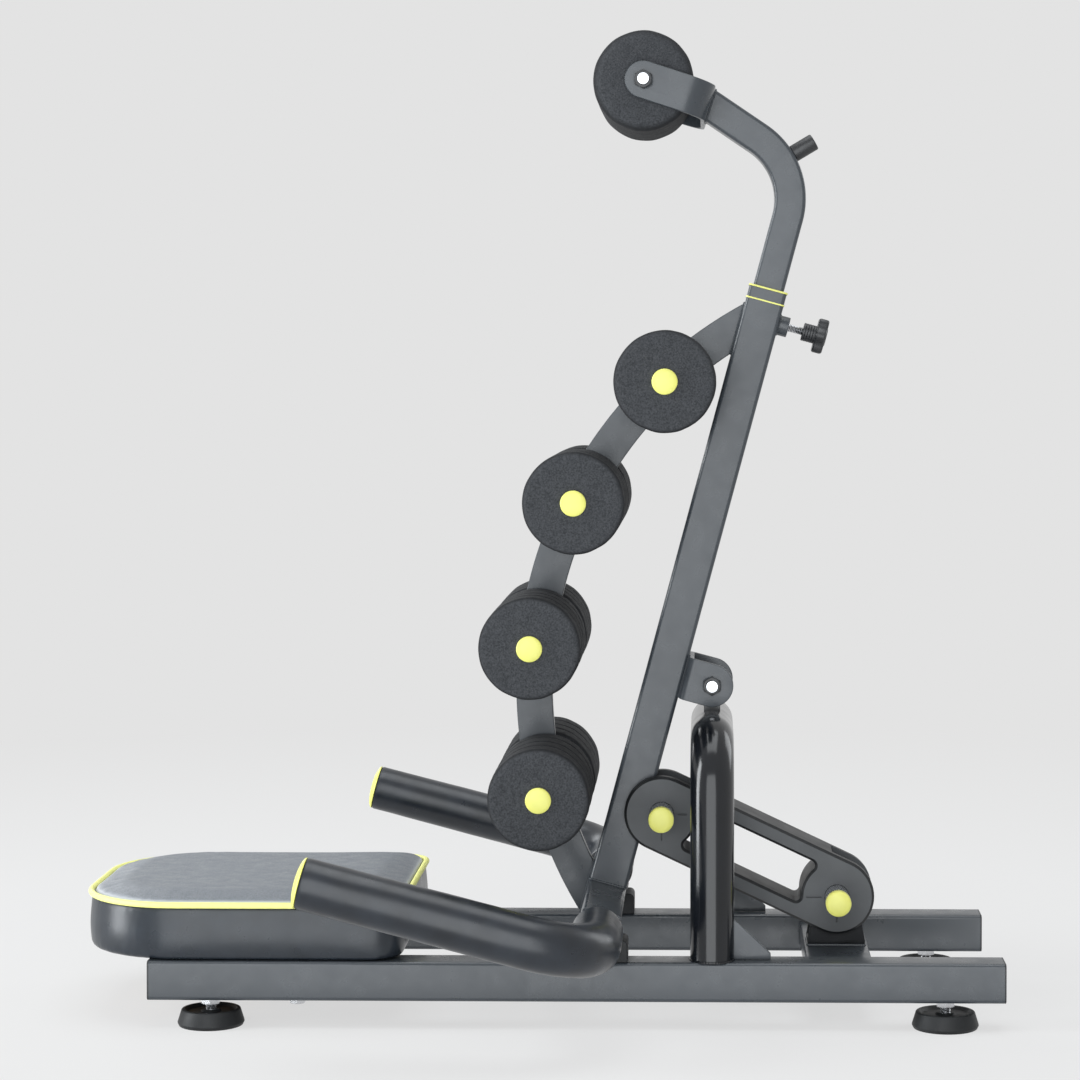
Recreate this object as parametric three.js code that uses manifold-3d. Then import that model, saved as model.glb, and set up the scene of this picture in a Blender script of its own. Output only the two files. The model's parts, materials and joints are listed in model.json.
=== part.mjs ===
// Spinal exercise bench: a padded seat on two rails, and behind it a leaning post with back rollers,
// handles and a headrest, which rocks on an arch against a rubber link.
// Millimetres, +Z up, +X towards the rear, +Y to the sitter's right. The origin is on the floor,
// under the middle of the outline.
import * as THREE from 'three';
import { mergeVertices } from 'three/addons/utils/BufferGeometryUtils.js';
import Module from 'manifold-3d';

// General
const gap = 0.3; // between pieces that touch
const overrun = 6; // how far a cutting solid runs past what it cuts
const weld_distance = 0.001; // vertices nearer than this are one
const round_sides = 20;
const tube_sides = 16;
const small_sides = 12;
const hex_sides = 6;
const bend_steps = 5;
const yoke_bend_steps = 4; // in each bend of a plate folded to a yoke
const dome_radius_shares = [1, 0.85, 0.5]; // of a cap's radius, from its edge to its crown
const dome_height_shares = [0.1, 0.55, 0.9]; // of its dome's height
const bolt_chamfer_share = 0.3; // of a bolt's radius

// Rails
const bench_length = 893; // from the seat's front edge to the rear plugs
const seat_overhang = 74; // how far the seat's front edge stands before the rails
const rail_size = 38;
const rail_wall = 2;
const rail_corner = 4;
const rail_span = 248; // centre to centre
const plug_flange = 1.5;
const plug_depth = 14;
const plug_wall = 2.5;

// Levelling feet
const foot_inset_front = 57; // from the rail's front end to the front studs
const foot_inset_rear = 55;
const pad_height = 16;
const pad_bottom_radius = 32;
const pad_top_radius = 28;
const pad_edge = 3;
const pad_dish = 3; // depth of the hollow in the pad's top
const stud_radius = 5;
const stud_socket = 8; // how deep the stud goes into the pad
const stud_gap = 10.5; // from the pad's top to the rail
const stud_reach = 14; // how far the stud goes into the rail
const foot_nut_height = 6;
const foot_nut_radius = 9.5;

// Cross members
const cross_width = 64;
const cross_height = 24;
const cross_wall = 2;
const cross_corner = 3;
const front_cross_inset = 150; // from the rail's front end to its middle

// Lever: the post, bow bar, rollers, housing and handles
const lean_deg = 15.05;
const post_size = 38;
const post_wall = 1.5;
const post_corner = 4;
const post_length = 610.4;
const housing_length = 330;
const housing_ahead = 431.5; // from the rail's front end to the housing's axis
const housing_height = 35; // from the rail's top to the housing's axis
const handle_radius = 16;
const handle_wall = 2;
const handle_span = 600; // between the arms' axes
const handle_reach = 270; // from the housing's axis to the arms' ends
const handle_bend = 62;
const handle_rise_deg = 14.6;
const grip_tip_radius = 23.5;
const grip_thick_radius = 24.5;
const grip_end_gap = 8; // between the housing's end and the grip
const cap_dome = 6;
const cap_stem = 20;
const cap_wall = 3;

// Bow bar and back rollers
const bow_radius = 415;
const bow_stand = 136.6; // how far its crown stands before the post's axis
const bow_up = 296.9; // from the housing's axis to the middle of its circle
const bow_width = 36;
const bow_thickness = 12;
const bow_steps = 18;
const roller_count = 4;
const roller_pitch = 145;
const roller_turn_deg = 1.75; // how far the four rollers are shifted up round the bow
const roller_radius = 49;
const roller_width = 270; // over both halves
const roller_bow_gap = 3; // between the bow bar and each half
const roller_edge = 5;
const roller_groove_count = 3;
const groove_width = 5;
const groove_depth = 3;
const axle_radius = 9.5;
const axle_play = 0.5; // between an axle and the foam's bore
const axle_cap_radius = 13;
const axle_cap_rim = 2; // height of the cap's straight edge
const axle_cap_dome = 2;

// Pivot between the lever and the arch
const pivot_up = 238.4; // from the housing's axis, along the post
const pivot_back = 47.9; // from the post's axis
const clevis_width = 74;
const clevis_thickness = 5;
const clevis_bend = 7;
const clevis_radius = 21;
const bolt_radius = 6;
const bolt_head_radius = 9.5;
const bolt_head_height = 6;
const bolt_tail = 3; // how far the bolt stands out of its nut
const nut_height = 5;
const lug_radius = 14;
const lug_web = 16;
const lug_play = 0.5; // between the lug and each ear

// Arch
const arch_radius = 21;
const arch_wall = 2;
const arch_bend = 55;
const arch_clearance = 4; // between the crossbar and the clevis ears
const gusset_width = 35;
const gusset_height = 39;
const gusset_thickness = 4;
const gusset_toe = 6; // height of the gusset's outer edge

// Rubber link, its pegs and their brackets
const peg_radius = 12;
const peg_cap_radius = 12.5;
const peg_cap_length = 10;
const peg_cap_dome = 3;
const peg_reach = 42; // how far a peg stands out of the link
const front_peg_up = 102; // from the housing's axis, along the post
const front_peg_wall = 2; // between the post and the front peg's side
const rear_peg_inset = 156; // from the rail's rear end
const rear_peg_height = 43.5; // from the rail's top
const link_radius = 37;
const link_strand = 15.5;
const link_width = 62;
const link_window_radius = 35.5; // from a peg's axis to the window's end
const link_fillet = 5;
const bracket_radius = 20;
const bracket_base = 57; // length of the rear bracket's foot
const bracket_wall = 6;
const bracket_play = 0.8; // between a bracket and the link's fork
const fork_play = 2; // between a bracket's eye and the fork's floor

// Stop blocks
const stop_hook = 14; // length of the part behind the housing
const stop_hook_height = 15.5; // from the rail's top
const stop_round = 5;

// Seat
const seat_length = 320;
const seat_width = 290;
const seat_front_corner = 100;
const seat_rear_corner = 34;
const seat_side = 53; // from the rails to the piping
const seat_crown = 9; // from the piping to the top
const seat_corner_steps = 6;
const board_inset = 16;
const board_thickness = 14;
const piping_radius = 3;
const piping_sides = 6;
const least_corner_share = 0.25; // of a corner's radius, however far in a ring lies
const side_bulge = 2;
// How far in from the edge and how far up the crown each ring of the top lies.
const crown_inset_shares = [0.02, 0.05, 0.1, 0.5];
const crown_rise_shares = [0.5, 0.82, 0.96, 0.99];

// Headrest
const bush_wall = 1.4;
const bush_depth = 24;
const bush_flange = 2;
const bush_lip = 0.8; // how far the flange stands out of the post
const upper_wall = 2;
const upper_corner = 4;
const upper_insert = 180; // length inside the post
const upper_rise = 74.7; // from the post's top to the bend
const upper_bend = 72;
const upper_turn_deg = 70.9;
const upper_reach = 57.5; // from the bend to the fork's web
const stub_turn_deg = 45.7;
const stub_radius = 8.5;
const stub_length = 24;
const stub_chamfer = 1.5;
const fork_tilt_deg = 3.2;
const fork_back = 68; // from the neck roller's axis to the web's back
const fork_drop = 1.6; // from the upper tube's axis down to the fork's, at the web
const fork_thickness = 4;
const fork_bend = 26;
const fork_radius = 18;
const fork_side_play = 3.5; // between the neck roller and each ear
const neck_roller_radius = 49;
const neck_roller_width = 135;
const neck_roller_edge = 9;
const neck_bolt_radius = 6;

// Height knob
const knob_drop = 30.5; // from the post's top to the screw
const boss_radius = 10;
const boss_height = 10;
const screw_radius = 4;
const screw_clear = 14.5; // bare screw between the boss and the knob
const hub_radius = 9;
const hub_height = 13;
const knob_radius = 19;
const knob_height = 10.5;
const knob_lobes = 6;
const knob_dip = 3;
const lobe_steps = 6;
const knob_chamfer = 1.5;

// Worked out from the sizes above
const rad = THREE.MathUtils.degToRad;
const lean = rad(lean_deg);
const rail_y = rail_span / 2;
const rail_bottom = pad_height + stud_gap;
const rail_middle = rail_bottom + rail_size / 2;
const rail_top = rail_bottom + rail_size;
const seat_front = -bench_length / 2;
const plug_front = seat_front + seat_overhang;
const plug_rear = bench_length / 2;
const rail_front = plug_front + plug_flange;
const rail_rear = plug_rear - plug_flange;
const rail_inner = rail_y - rail_size / 2;
const housing_x = plug_front + housing_ahead;
const housing_z = rail_top + housing_height;
const half_post = post_size / 2;
const post_top = half_post + gap + post_length;
const pivot = leverPoint(pivot_back, pivot_up);
const front_peg_back = half_post + front_peg_wall + peg_radius;
const front_peg = leverPoint(front_peg_back, front_peg_up);
const rear_peg = new THREE.Vector3(plug_rear - rear_peg_inset, 0, rail_top + rear_peg_height);
const crossbar_z = pivot.z - clevis_radius - arch_clearance - arch_radius;
const sides = [['left', -1], ['right', 1]];
const ends = [['front', -1], ['rear', 1]];

// Finishes
function finish(color, roughness, metalness) {
  return new THREE.MeshStandardMaterial({ color, roughness, metalness });
}

const frame_paint = finish(0x4a4e54, 0.42, 0.35);
const arch_paint = finish(0x17181a, 0.22, 0.2);
const black_rubber = finish(0x17181a, 0.7, 0);
const link_rubber = finish(0x5c5e60, 0.6, 0);
const black_plastic = finish(0x1a1b1d, 0.45, 0);
const yellow_plastic = finish(0xe8e85a, 0.35, 0);
const bright_steel = finish(0xd8dadc, 0.25, 0.9);
const grip_foam = finish(0x141517, 0.3, 0);
const roller_foam = finish(0x2b2c2f, 0.9, 0);
const seat_cloth = finish(0x4b4c50, 0.85, 0);
const board_wood = finish(0x8b6f4b, 0.8, 0);

const wasm = await Module();
wasm.setup();

// A place on the lever, given along and up the post, as a place on the bench.
function leverPoint(along, up) {
  const x = housing_x + along * Math.cos(lean) + up * Math.sin(lean);
  const z = housing_z - along * Math.sin(lean) + up * Math.cos(lean);
  return new THREE.Vector3(x, 0, z);
}

// Booleans
function solidFrom(geometry) {
  const bare = geometry.clone();
  bare.deleteAttribute('normal');
  bare.deleteAttribute('uv');
  const merged = mergeVertices(bare, weld_distance);
  const mesh = new wasm.Mesh({
    numProp: 3,
    vertProperties: merged.attributes.position.array,
    triVerts: new Uint32Array(merged.index.array),
  });
  return new wasm.Manifold(mesh);
}

function geometryFrom(solid) {
  const mesh = solid.getMesh();
  const geometry = new THREE.BufferGeometry();
  geometry.setAttribute('position', new THREE.BufferAttribute(mesh.vertProperties, 3));
  geometry.setIndex(new THREE.BufferAttribute(mesh.triVerts, 1));
  return geometry;
}

function join(...pieces) {
  return geometryFrom(pieces.map(solidFrom).reduce((all, piece) => all.add(piece)));
}

function cut(body, ...tools) {
  return geometryFrom(tools.map(solidFrom).reduce((left, tool) => left.subtract(tool), solidFrom(body)));
}

function common(one, other) {
  return geometryFrom(solidFrom(one).intersect(solidFrom(other)));
}

// Outlines, as lists of points
function arc(x, y, radius, from_deg, to_deg, steps) {
  const points = [];
  for (let step = 0; step <= steps; step++) {
    const angle = rad(from_deg + (to_deg - from_deg) * step / steps);
    points.push(new THREE.Vector2(x + radius * Math.cos(angle), y + radius * Math.sin(angle)));
  }
  return points;
}

function circle(x, y, radius, steps) {
  return arc(x, y, radius, 0, 360, steps).slice(0, -1);
}

function roundedBox(width, height, radius, steps) {
  const x = width / 2 - radius;
  const y = height / 2 - radius;
  return [
    ...arc(x, y, radius, 0, 90, steps),
    ...arc(-x, y, radius, 90, 180, steps),
    ...arc(-x, -y, radius, 180, 270, steps),
    ...arc(x, -y, radius, 270, 360, steps),
  ];
}

// Solids from outlines
function extruded(outline, holes, depth) {
  const shape = new THREE.Shape(outline);
  for (const hole of holes) shape.holes.push(new THREE.Path(hole));
  return new THREE.ExtrudeGeometry(shape, { depth, bevelEnabled: false });
}

// The outline lies in the x-z plane and runs along y.
function alongY(outline, holes, low, high) {
  return extruded(outline, holes, high - low).rotateX(Math.PI / 2).translate(0, high, 0);
}

// The outline's x and y are the bench's y and z, and it runs along x.
function alongX(outline, holes, low, high) {
  const solid = extruded(outline, holes, high - low);
  return solid.rotateX(Math.PI / 2).rotateZ(Math.PI / 2).translate(low, 0, 0);
}

function alongZ(outline, holes, low, high) {
  return extruded(outline, holes, high - low).translate(0, 0, low);
}

// A round piece about the y axis, from a profile of radius and height.
function turned(profile, steps) {
  const points = profile.map(([radius, height]) => new THREE.Vector2(radius, height));
  if (THREE.ShapeUtils.area(points) < 0) points.reverse();
  return new THREE.LatheGeometry(points, steps);
}

function rod(radius, low, high, steps) {
  return turned([[0, low], [radius, low], [radius, high], [0, high]], steps);
}

// The profile of a domed end, from its edge to its crown.
function dome(radius, foot, height) {
  const ring = (share, i) => [radius * share, foot + height * dome_height_shares[i]];
  return [...dome_radius_shares.map(ring), [0, foot + height]];
}

const upright = (geometry) => geometry.rotateX(Math.PI / 2);
const lyingAlongX = (geometry) => geometry.rotateZ(-Math.PI / 2);

// Stations along a line of corners in one plane, each corner rounded to the bend's radius.
function bentPath(corners, bend, steps) {
  const heading = (from, to) => to.clone().sub(from).normalize();
  const last = corners.length - 1;
  const stations = [{ place: corners[0], heading: heading(corners[0], corners[1]) }];
  for (let i = 1; i < last; i++) {
    const before = heading(corners[i - 1], corners[i]);
    const after = heading(corners[i], corners[i + 1]);
    const turn = before.angleTo(after);
    const inward = after.clone().addScaledVector(before, -before.dot(after)).normalize();
    const start = corners[i].clone().addScaledVector(before, -bend * Math.tan(turn / 2));
    const centre = start.clone().addScaledVector(inward, bend);
    for (let step = 0; step <= steps; step++) {
      const angle = turn * step / steps;
      const place = centre.clone().addScaledVector(inward, -bend * Math.cos(angle));
      place.addScaledVector(before, bend * Math.sin(angle));
      const along = before.clone().multiplyScalar(Math.cos(angle)).addScaledVector(inward, Math.sin(angle));
      stations.push({ place, heading: along });
    }
  }
  stations.push({ place: corners[last], heading: heading(corners[last - 1], corners[last]) });
  return stations;
}

// A mesh from a list of points and a list of triangles.
function meshOf(points, triangles) {
  const geometry = new THREE.BufferGeometry();
  geometry.setAttribute('position', new THREE.Float32BufferAttribute(points.flatMap((p) => p.toArray()), 3));
  geometry.setIndex(triangles);
  return geometry;
}

// The rings of a section carried along stations. Flat is the normal of the plane that they lie in.
function ringsAlong(stations, flat, section) {
  return stations.map(({ place, heading }, i) => {
    const side = flat.clone().cross(heading);
    return section(i).map((p) => place.clone().addScaledVector(side, p.x).addScaledVector(flat, p.y));
  });
}

function wall(triangles, rings, count, offset, closed, inwards) {
  const spans = closed ? rings : rings - 1;
  for (let i = 0; i < spans; i++) {
    for (let k = 0; k < count; k++) {
      const a = offset + i * count + k;
      const b = offset + i * count + (k + 1) % count;
      const c = offset + ((i + 1) % rings) * count + (k + 1) % count;
      const d = offset + ((i + 1) % rings) * count + k;
      if (inwards) triangles.push(a, d, b, b, d, c);
      else triangles.push(a, b, d, b, c, d);
    }
  }
}

// A pipe with open ends, from an outer and an inner section with as many points each.
function pipe(stations, flat, outer, inner) {
  const points = [...ringsAlong(stations, flat, outer), ...ringsAlong(stations, flat, inner)].flat();
  const rings = stations.length;
  const count = outer(0).length;
  const inside = rings * count;
  const triangles = [];
  wall(triangles, rings, count, 0, false, false);
  wall(triangles, rings, count, inside, false, true);
  const end = (rings - 1) * count;
  for (let k = 0; k < count; k++) {
    const next = (k + 1) % count;
    triangles.push(next, k, inside + k, next, inside + k, inside + next);
    triangles.push(end + k, end + next, inside + end + k);
    triangles.push(end + next, inside + end + next, inside + end + k);
  }
  return meshOf(points, triangles);
}

// A solid loop of one section round closed stations.
function hoop(stations, flat, section) {
  const triangles = [];
  wall(triangles, stations.length, section.length, 0, true, false);
  return meshOf(ringsAlong(stations, flat, () => section).flat(), triangles);
}

// A solid through rings of as many points each, from the lowest to the highest, closed by fans.
function loft(rings, bottom, top) {
  const count = rings[0].length;
  const points = [...rings.flat(), bottom, top];
  const foot = rings.length * count;
  const last = foot - count;
  const triangles = [];
  wall(triangles, rings.length, count, 0, false, false);
  for (let k = 0; k < count; k++) {
    const next = (k + 1) % count;
    triangles.push(foot, next, k, last + k, last + next, foot + 1);
  }
  return meshOf(points, triangles);
}

// The bench
const bench = new THREE.Group();
const lever = new THREE.Group();
lever.position.set(housing_x, 0, housing_z);
lever.rotation.y = lean;
bench.add(lever);

function add(parent, name, geometry, material) {
  geometry.computeVertexNormals();
  const mesh = new THREE.Mesh(geometry, material.clone());
  mesh.name = name;
  parent.add(mesh);
  return mesh;
}

// Rails, with a hole in the underside for each stud, and the plugs in their ends.
const stud_places = [['front', rail_front + foot_inset_front], ['rear', rail_rear - foot_inset_rear]];

function makeRails() {
  const inner = rail_size - 2 * rail_wall;
  const outside = roundedBox(rail_size, rail_size, rail_corner, 2);
  const inside = roundedBox(inner, inner, rail_corner - rail_wall, 2);
  const stem = inner - 2 * gap;
  const stem_outline = roundedBox(stem, stem, rail_corner - rail_wall, 2);
  const stem_hollow = roundedBox(stem - 2 * plug_wall, stem - 2 * plug_wall, rail_corner - rail_wall, 2);
  for (const [side, sign] of sides) {
    const holes = stud_places.map(([, x]) =>
      upright(rod(stud_radius + gap, -rail_size / 2 - overrun, 0, small_sides)).translate(x, 0, 0));
    const rail = cut(alongX(outside, [inside], rail_front, rail_rear), ...holes);
    add(bench, `${side}_rail`, rail, frame_paint).position.set(0, sign * rail_y, rail_middle);
    for (const [end, way] of ends) {
      const flange = alongX(outside, [], 0, plug_flange - gap);
      const hollow = alongX(stem_hollow, [], -plug_depth - overrun, -gap);
      const plug = cut(join(flange, alongX(stem_outline, [], -plug_depth, gap)), hollow);
      const mesh = add(bench, `${side}_${end}_rail_plug`, plug, black_plastic);
      mesh.position.set(way < 0 ? rail_front - gap : rail_rear + gap, sign * rail_y, rail_middle);
      mesh.rotation.z = way < 0 ? Math.PI : 0;
    }
  }
}

// Each levelling foot is a dished rubber pad, and a stud with a lock nut under the rail.
function makeFeet() {
  const socket = stud_radius + gap;
  const dish_floor = pad_height - pad_dish;
  const pad_profile = [
    [0, 0],
    [pad_bottom_radius - pad_edge / 2, 0],
    [pad_bottom_radius, pad_edge],
    [pad_top_radius, pad_height - pad_edge / 2],
    [pad_top_radius - pad_edge / 2, pad_height],
    [pad_top_radius - pad_edge - pad_dish, dish_floor],
    [socket, dish_floor],
    [socket, dish_floor - stud_socket],
    [0, dish_floor - stud_socket],
  ];
  const stud_bottom = dish_floor - stud_socket + gap;
  const nut_top = rail_bottom - gap;
  for (const [end, x] of stud_places) {
    for (const [side, sign] of sides) {
      const pad = upright(turned(pad_profile, round_sides));
      add(bench, `${side}_${end}_foot_pad`, pad, black_rubber).position.set(x, sign * rail_y, 0);
      const stud = upright(rod(stud_radius, stud_bottom, rail_bottom + stud_reach, small_sides));
      const nut = upright(rod(foot_nut_radius, nut_top - foot_nut_height, nut_top, hex_sides));
      const whole = join(stud, nut);
      add(bench, `${side}_${end}_foot_stud`, whole, bright_steel).position.set(x, sign * rail_y, 0);
    }
  }
}

// Two rectangular tubes hold the rails together.
function makeCrossMembers() {
  const outside = roundedBox(cross_width, cross_height, cross_corner, 2);
  const width = cross_width - 2 * cross_wall;
  const height = cross_height - 2 * cross_wall;
  const inside = roundedBox(width, height, cross_corner - cross_wall, 2);
  const reach = rail_inner - gap;
  const places = [['front', plug_front + front_cross_inset], ['rear', rear_peg.x]];
  for (const [end, x] of places) {
    const tube = alongY(outside, [inside], -reach, reach);
    add(bench, `${end}_cross_member`, tube, frame_paint).position.set(x, 0, rail_middle);
  }
}

// The arch is one bent tube, with a gusset welded to the rear of each leg.
function makeArch() {
  const foot = rail_top + gap;
  const corners = [
    new THREE.Vector3(pivot.x, -rail_y, foot),
    new THREE.Vector3(pivot.x, -rail_y, crossbar_z),
    new THREE.Vector3(pivot.x, rail_y, crossbar_z),
    new THREE.Vector3(pivot.x, rail_y, foot),
  ];
  const stations = bentPath(corners, arch_bend, bend_steps);
  const flat = new THREE.Vector3(1, 0, 0);
  const outer = () => circle(0, 0, arch_radius, tube_sides);
  const inner = () => circle(0, 0, arch_radius - arch_wall, tube_sides);
  const heel = arch_radius - arch_wall / 2;
  const toe = arch_radius + gusset_width;
  const outline = [
    new THREE.Vector2(heel, 0),
    new THREE.Vector2(toe, 0),
    new THREE.Vector2(toe, gusset_toe),
    new THREE.Vector2(heel + arch_wall, gusset_height),
    new THREE.Vector2(heel, gusset_height),
  ];
  const half = gusset_thickness / 2;
  const gussets = sides.map(([, sign]) =>
    alongY(outline, [], -half, half).translate(pivot.x, sign * rail_y, foot));
  add(bench, 'arch_tube', join(pipe(stations, flat, outer, inner), ...gussets), arch_paint);

  // Its lug is a bushing on a web that sits on the crossbar.
  const length = clevis_width / 2 - clevis_thickness - lug_play;
  const bushing = rod(lug_radius, -length, length, round_sides);
  const drop = pivot.z - crossbar_z;
  const web_outline = [
    new THREE.Vector2(-lug_web / 2, 0),
    new THREE.Vector2(-lug_web / 2, -drop),
    new THREE.Vector2(lug_web / 2, -drop),
    new THREE.Vector2(lug_web / 2, 0),
  ];
  const web = alongY(web_outline, [], -length, length);
  const seat = rod(arch_radius + gap, -length - overrun, length + overrun, round_sides * 2);
  const bore = rod(bolt_radius + gap, -length - overrun, length + overrun, round_sides);
  const lug = cut(join(bushing, web), seat.translate(0, 0, -drop), bore);
  add(bench, 'arch_lug', lug, arch_paint).position.copy(pivot);
}

// A stop block on each rail cradles the housing: it is cut along the housing's underside and back.
function makeStopBlocks() {
  const under = half_post + gap;
  const front = leverPoint(-half_post, -under);
  const corner = leverPoint(under, -under);
  const foot = rail_top + gap;
  const hook_top = foot + stop_hook_height;
  const back_x = (z) => corner.x + (z - corner.z) * Math.tan(lean);
  const rear = corner.x + stop_hook;
  const outline = [
    new THREE.Vector2(front.x, foot),
    new THREE.Vector2(rear, foot),
    ...arc(rear - stop_round, hook_top - stop_round, stop_round, 0, 90, 3),
    new THREE.Vector2(back_x(hook_top), hook_top),
    new THREE.Vector2(corner.x, corner.z),
    new THREE.Vector2(front.x, front.z),
  ];
  for (const [side, sign] of sides) {
    const block = alongY(outline, [], -rail_size / 2, rail_size / 2);
    add(bench, `${side}_stop_block`, block, black_rubber).position.y = sign * rail_y;
  }
}

// A square housing crosses the post's foot, with a round way through it for the handle tube.
function makePostAndHousing() {
  const inner = post_size - 2 * post_wall;
  const outside = roundedBox(post_size, post_size, post_corner, 2);
  const inside = roundedBox(inner, inner, post_corner - post_wall, 2);
  const way = lyingAlongX(rod(screw_radius + gap, 0, half_post + overrun, small_sides));
  const post = alongZ(outside, [inside], half_post + gap, post_top);
  add(lever, 'post_tube', cut(post, way.translate(0, 0, post_top - knob_drop)), frame_paint);
  const bore = circle(0, 0, handle_radius + gap, round_sides);
  const half = housing_length / 2;
  add(lever, 'handle_housing', alongY(outside, [bore], -half, half), frame_paint);
}

// The handle tube, its two grips and their end caps lie in a plane that rises at its own angle.
function makeHandles() {
  const plane = new THREE.Group();
  plane.rotation.y = rad(handle_rise_deg) - lean;
  lever.add(plane);
  const y = handle_span / 2;
  const corners = [
    new THREE.Vector3(-handle_reach, -y, 0),
    new THREE.Vector3(0, -y, 0),
    new THREE.Vector3(0, y, 0),
    new THREE.Vector3(-handle_reach, y, 0),
  ];
  const flat = new THREE.Vector3(0, 0, 1);
  const ring = (radius) => circle(0, 0, radius, tube_sides);
  const outer = () => ring(handle_radius);
  const inner = () => ring(handle_radius - handle_wall);
  const tube = pipe(bentPath(corners, handle_bend, bend_steps), flat, outer, inner);
  add(plane, 'handle_tube', tube, bright_steel);

  const tip = handle_radius - handle_wall - gap;
  const cap_profile = [
    ...dome(grip_tip_radius, 0, cap_dome).reverse(),
    [grip_tip_radius, 0],
    [tip, 0],
    [tip, -cap_stem],
    [tip - cap_wall, -cap_stem],
    [tip - cap_wall, -gap],
    [0, -gap],
  ];
  for (const [side, sign] of sides) {
    const grip_corners = [
      new THREE.Vector3(-handle_reach, sign * y, 0),
      new THREE.Vector3(0, sign * y, 0),
      new THREE.Vector3(0, sign * (housing_length / 2 + grip_end_gap), 0),
    ];
    const stations = bentPath(grip_corners, handle_bend, bend_steps);
    const thick = (i) => ring(i === 0 ? grip_tip_radius : grip_thick_radius);
    const grip = pipe(stations, flat, thick, () => ring(handle_radius + gap));
    add(plane, `${side}_grip`, grip, grip_foam);
    const cap = turned(cap_profile, tube_sides).rotateZ(Math.PI / 2);
    const mesh = add(plane, `${side}_grip_cap`, cap, yellow_plastic);
    mesh.position.set(-handle_reach - gap, sign * y, 0);
  }
}

// The bow bar is an arc of flat bar, cut off along the front of the post and the housing.
const bow_x = bow_radius - bow_stand; // from the post's axis back to the middle of the bow's circle
const bow_centre = new THREE.Vector3(bow_x, 0, bow_up);

function rollerPlace(number) {
  const step = 2 * Math.asin(roller_pitch / 2 / bow_radius);
  const angle = Math.PI - rad(roller_turn_deg) - ((roller_count - 1) / 2 - number) * step;
  const x = bow_centre.x + bow_radius * Math.cos(angle);
  return new THREE.Vector3(x, 0, bow_centre.z + bow_radius * Math.sin(angle));
}

function makeBowBar() {
  const face = bow_x + half_post + gap;
  const outer = bow_radius + bow_width / 2;
  const inner = bow_radius - bow_width / 2;
  const reach_deg = (radius) => THREE.MathUtils.radToDeg(Math.acos(face / radius));
  const outer_deg = reach_deg(outer);
  const inner_deg = reach_deg(inner);
  const outline = [
    ...arc(bow_centre.x, bow_centre.z, outer, 180 - outer_deg, 180 + outer_deg, bow_steps),
    ...arc(bow_centre.x, bow_centre.z, inner, 180 + inner_deg, 180 - inner_deg, bow_steps),
  ];
  const holes = [];
  for (let i = 0; i < roller_count; i++) {
    const place = rollerPlace(i);
    holes.push(circle(place.x, place.z, axle_radius + gap, small_sides));
  }
  add(lever, 'bow_bar', alongY(outline, holes, -bow_thickness / 2, bow_thickness / 2), frame_paint);
}

// A foam sleeve with rounded edges and grooves round it.
function foamSleeve(radius, bore, length, edge, grooves, steps) {
  const profile = [[bore, 0], [radius - edge, 0], [radius, edge]];
  for (let i = 1; i <= grooves; i++) {
    const middle = length * i / (grooves + 1);
    profile.push([radius, middle - groove_width / 2], [radius - groove_depth, middle]);
    profile.push([radius, middle + groove_width / 2]);
  }
  profile.push([radius, length - edge], [radius - edge, length], [bore, length], [bore, 0]);
  return turned(profile, steps);
}

// Each axle carries its two caps and is coloured as they are.
function makeBackRollers() {
  const start = bow_thickness / 2 + roller_bow_gap;
  const length = roller_width / 2 - start;
  const cap_low = roller_width / 2 + gap;
  const half_profile = [
    [axle_radius, cap_low],
    [axle_cap_radius, cap_low],
    ...dome(axle_cap_radius, cap_low + axle_cap_rim, axle_cap_dome),
  ];
  const mirrored = half_profile.map(([radius, height]) => [radius, -height]).reverse();
  for (let i = 0; i < roller_count; i++) {
    const place = rollerPlace(i);
    const number = i + 1;
    const axle = turned([...mirrored, ...half_profile], small_sides);
    add(lever, `roller_axle_${number}`, axle, yellow_plastic).position.copy(place);
    for (const [side, sign] of sides) {
      const bore = axle_radius + axle_play;
      const foam = foamSleeve(roller_radius, bore, length, roller_edge, roller_groove_count, round_sides);
      const mesh = add(lever, `roller_${number}_${side}_foam`, foam, roller_foam);
      mesh.position.set(place.x, sign * start, place.z);
      mesh.rotation.x = sign < 0 ? Math.PI : 0;
    }
  }
}

// A bent-plate yoke. Its bore lies on the y axis, its web at x = -back, and its ears end in a round.
function yoke(width, thickness, bend, back, radius, bore) {
  const y = width / 2;
  const tight = bend - thickness;
  const web = -back + thickness;
  const outline = [
    new THREE.Vector2(radius, -y + thickness),
    ...arc(-back + bend, -y + bend, tight, 270, 180, yoke_bend_steps),
    ...arc(-back + bend, y - bend, tight, 180, 90, yoke_bend_steps),
    new THREE.Vector2(radius, y - thickness),
    new THREE.Vector2(radius, y),
    ...arc(-back + bend, y - bend, bend, 90, 180, yoke_bend_steps),
    ...arc(-back + bend, -y + bend, bend, 180, 270, yoke_bend_steps),
    new THREE.Vector2(radius, -y),
  ];
  const ear = [
    ...arc(0, 0, radius, -90, 90, 10),
    new THREE.Vector2(web - overrun - thickness, radius),
    new THREE.Vector2(web - overrun - thickness, -radius),
  ];
  const bent = alongZ(outline, [], -radius - overrun, radius + overrun);
  return common(bent, alongY(ear, [circle(0, 0, bore, small_sides)], -y - overrun, y + overrun));
}

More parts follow.
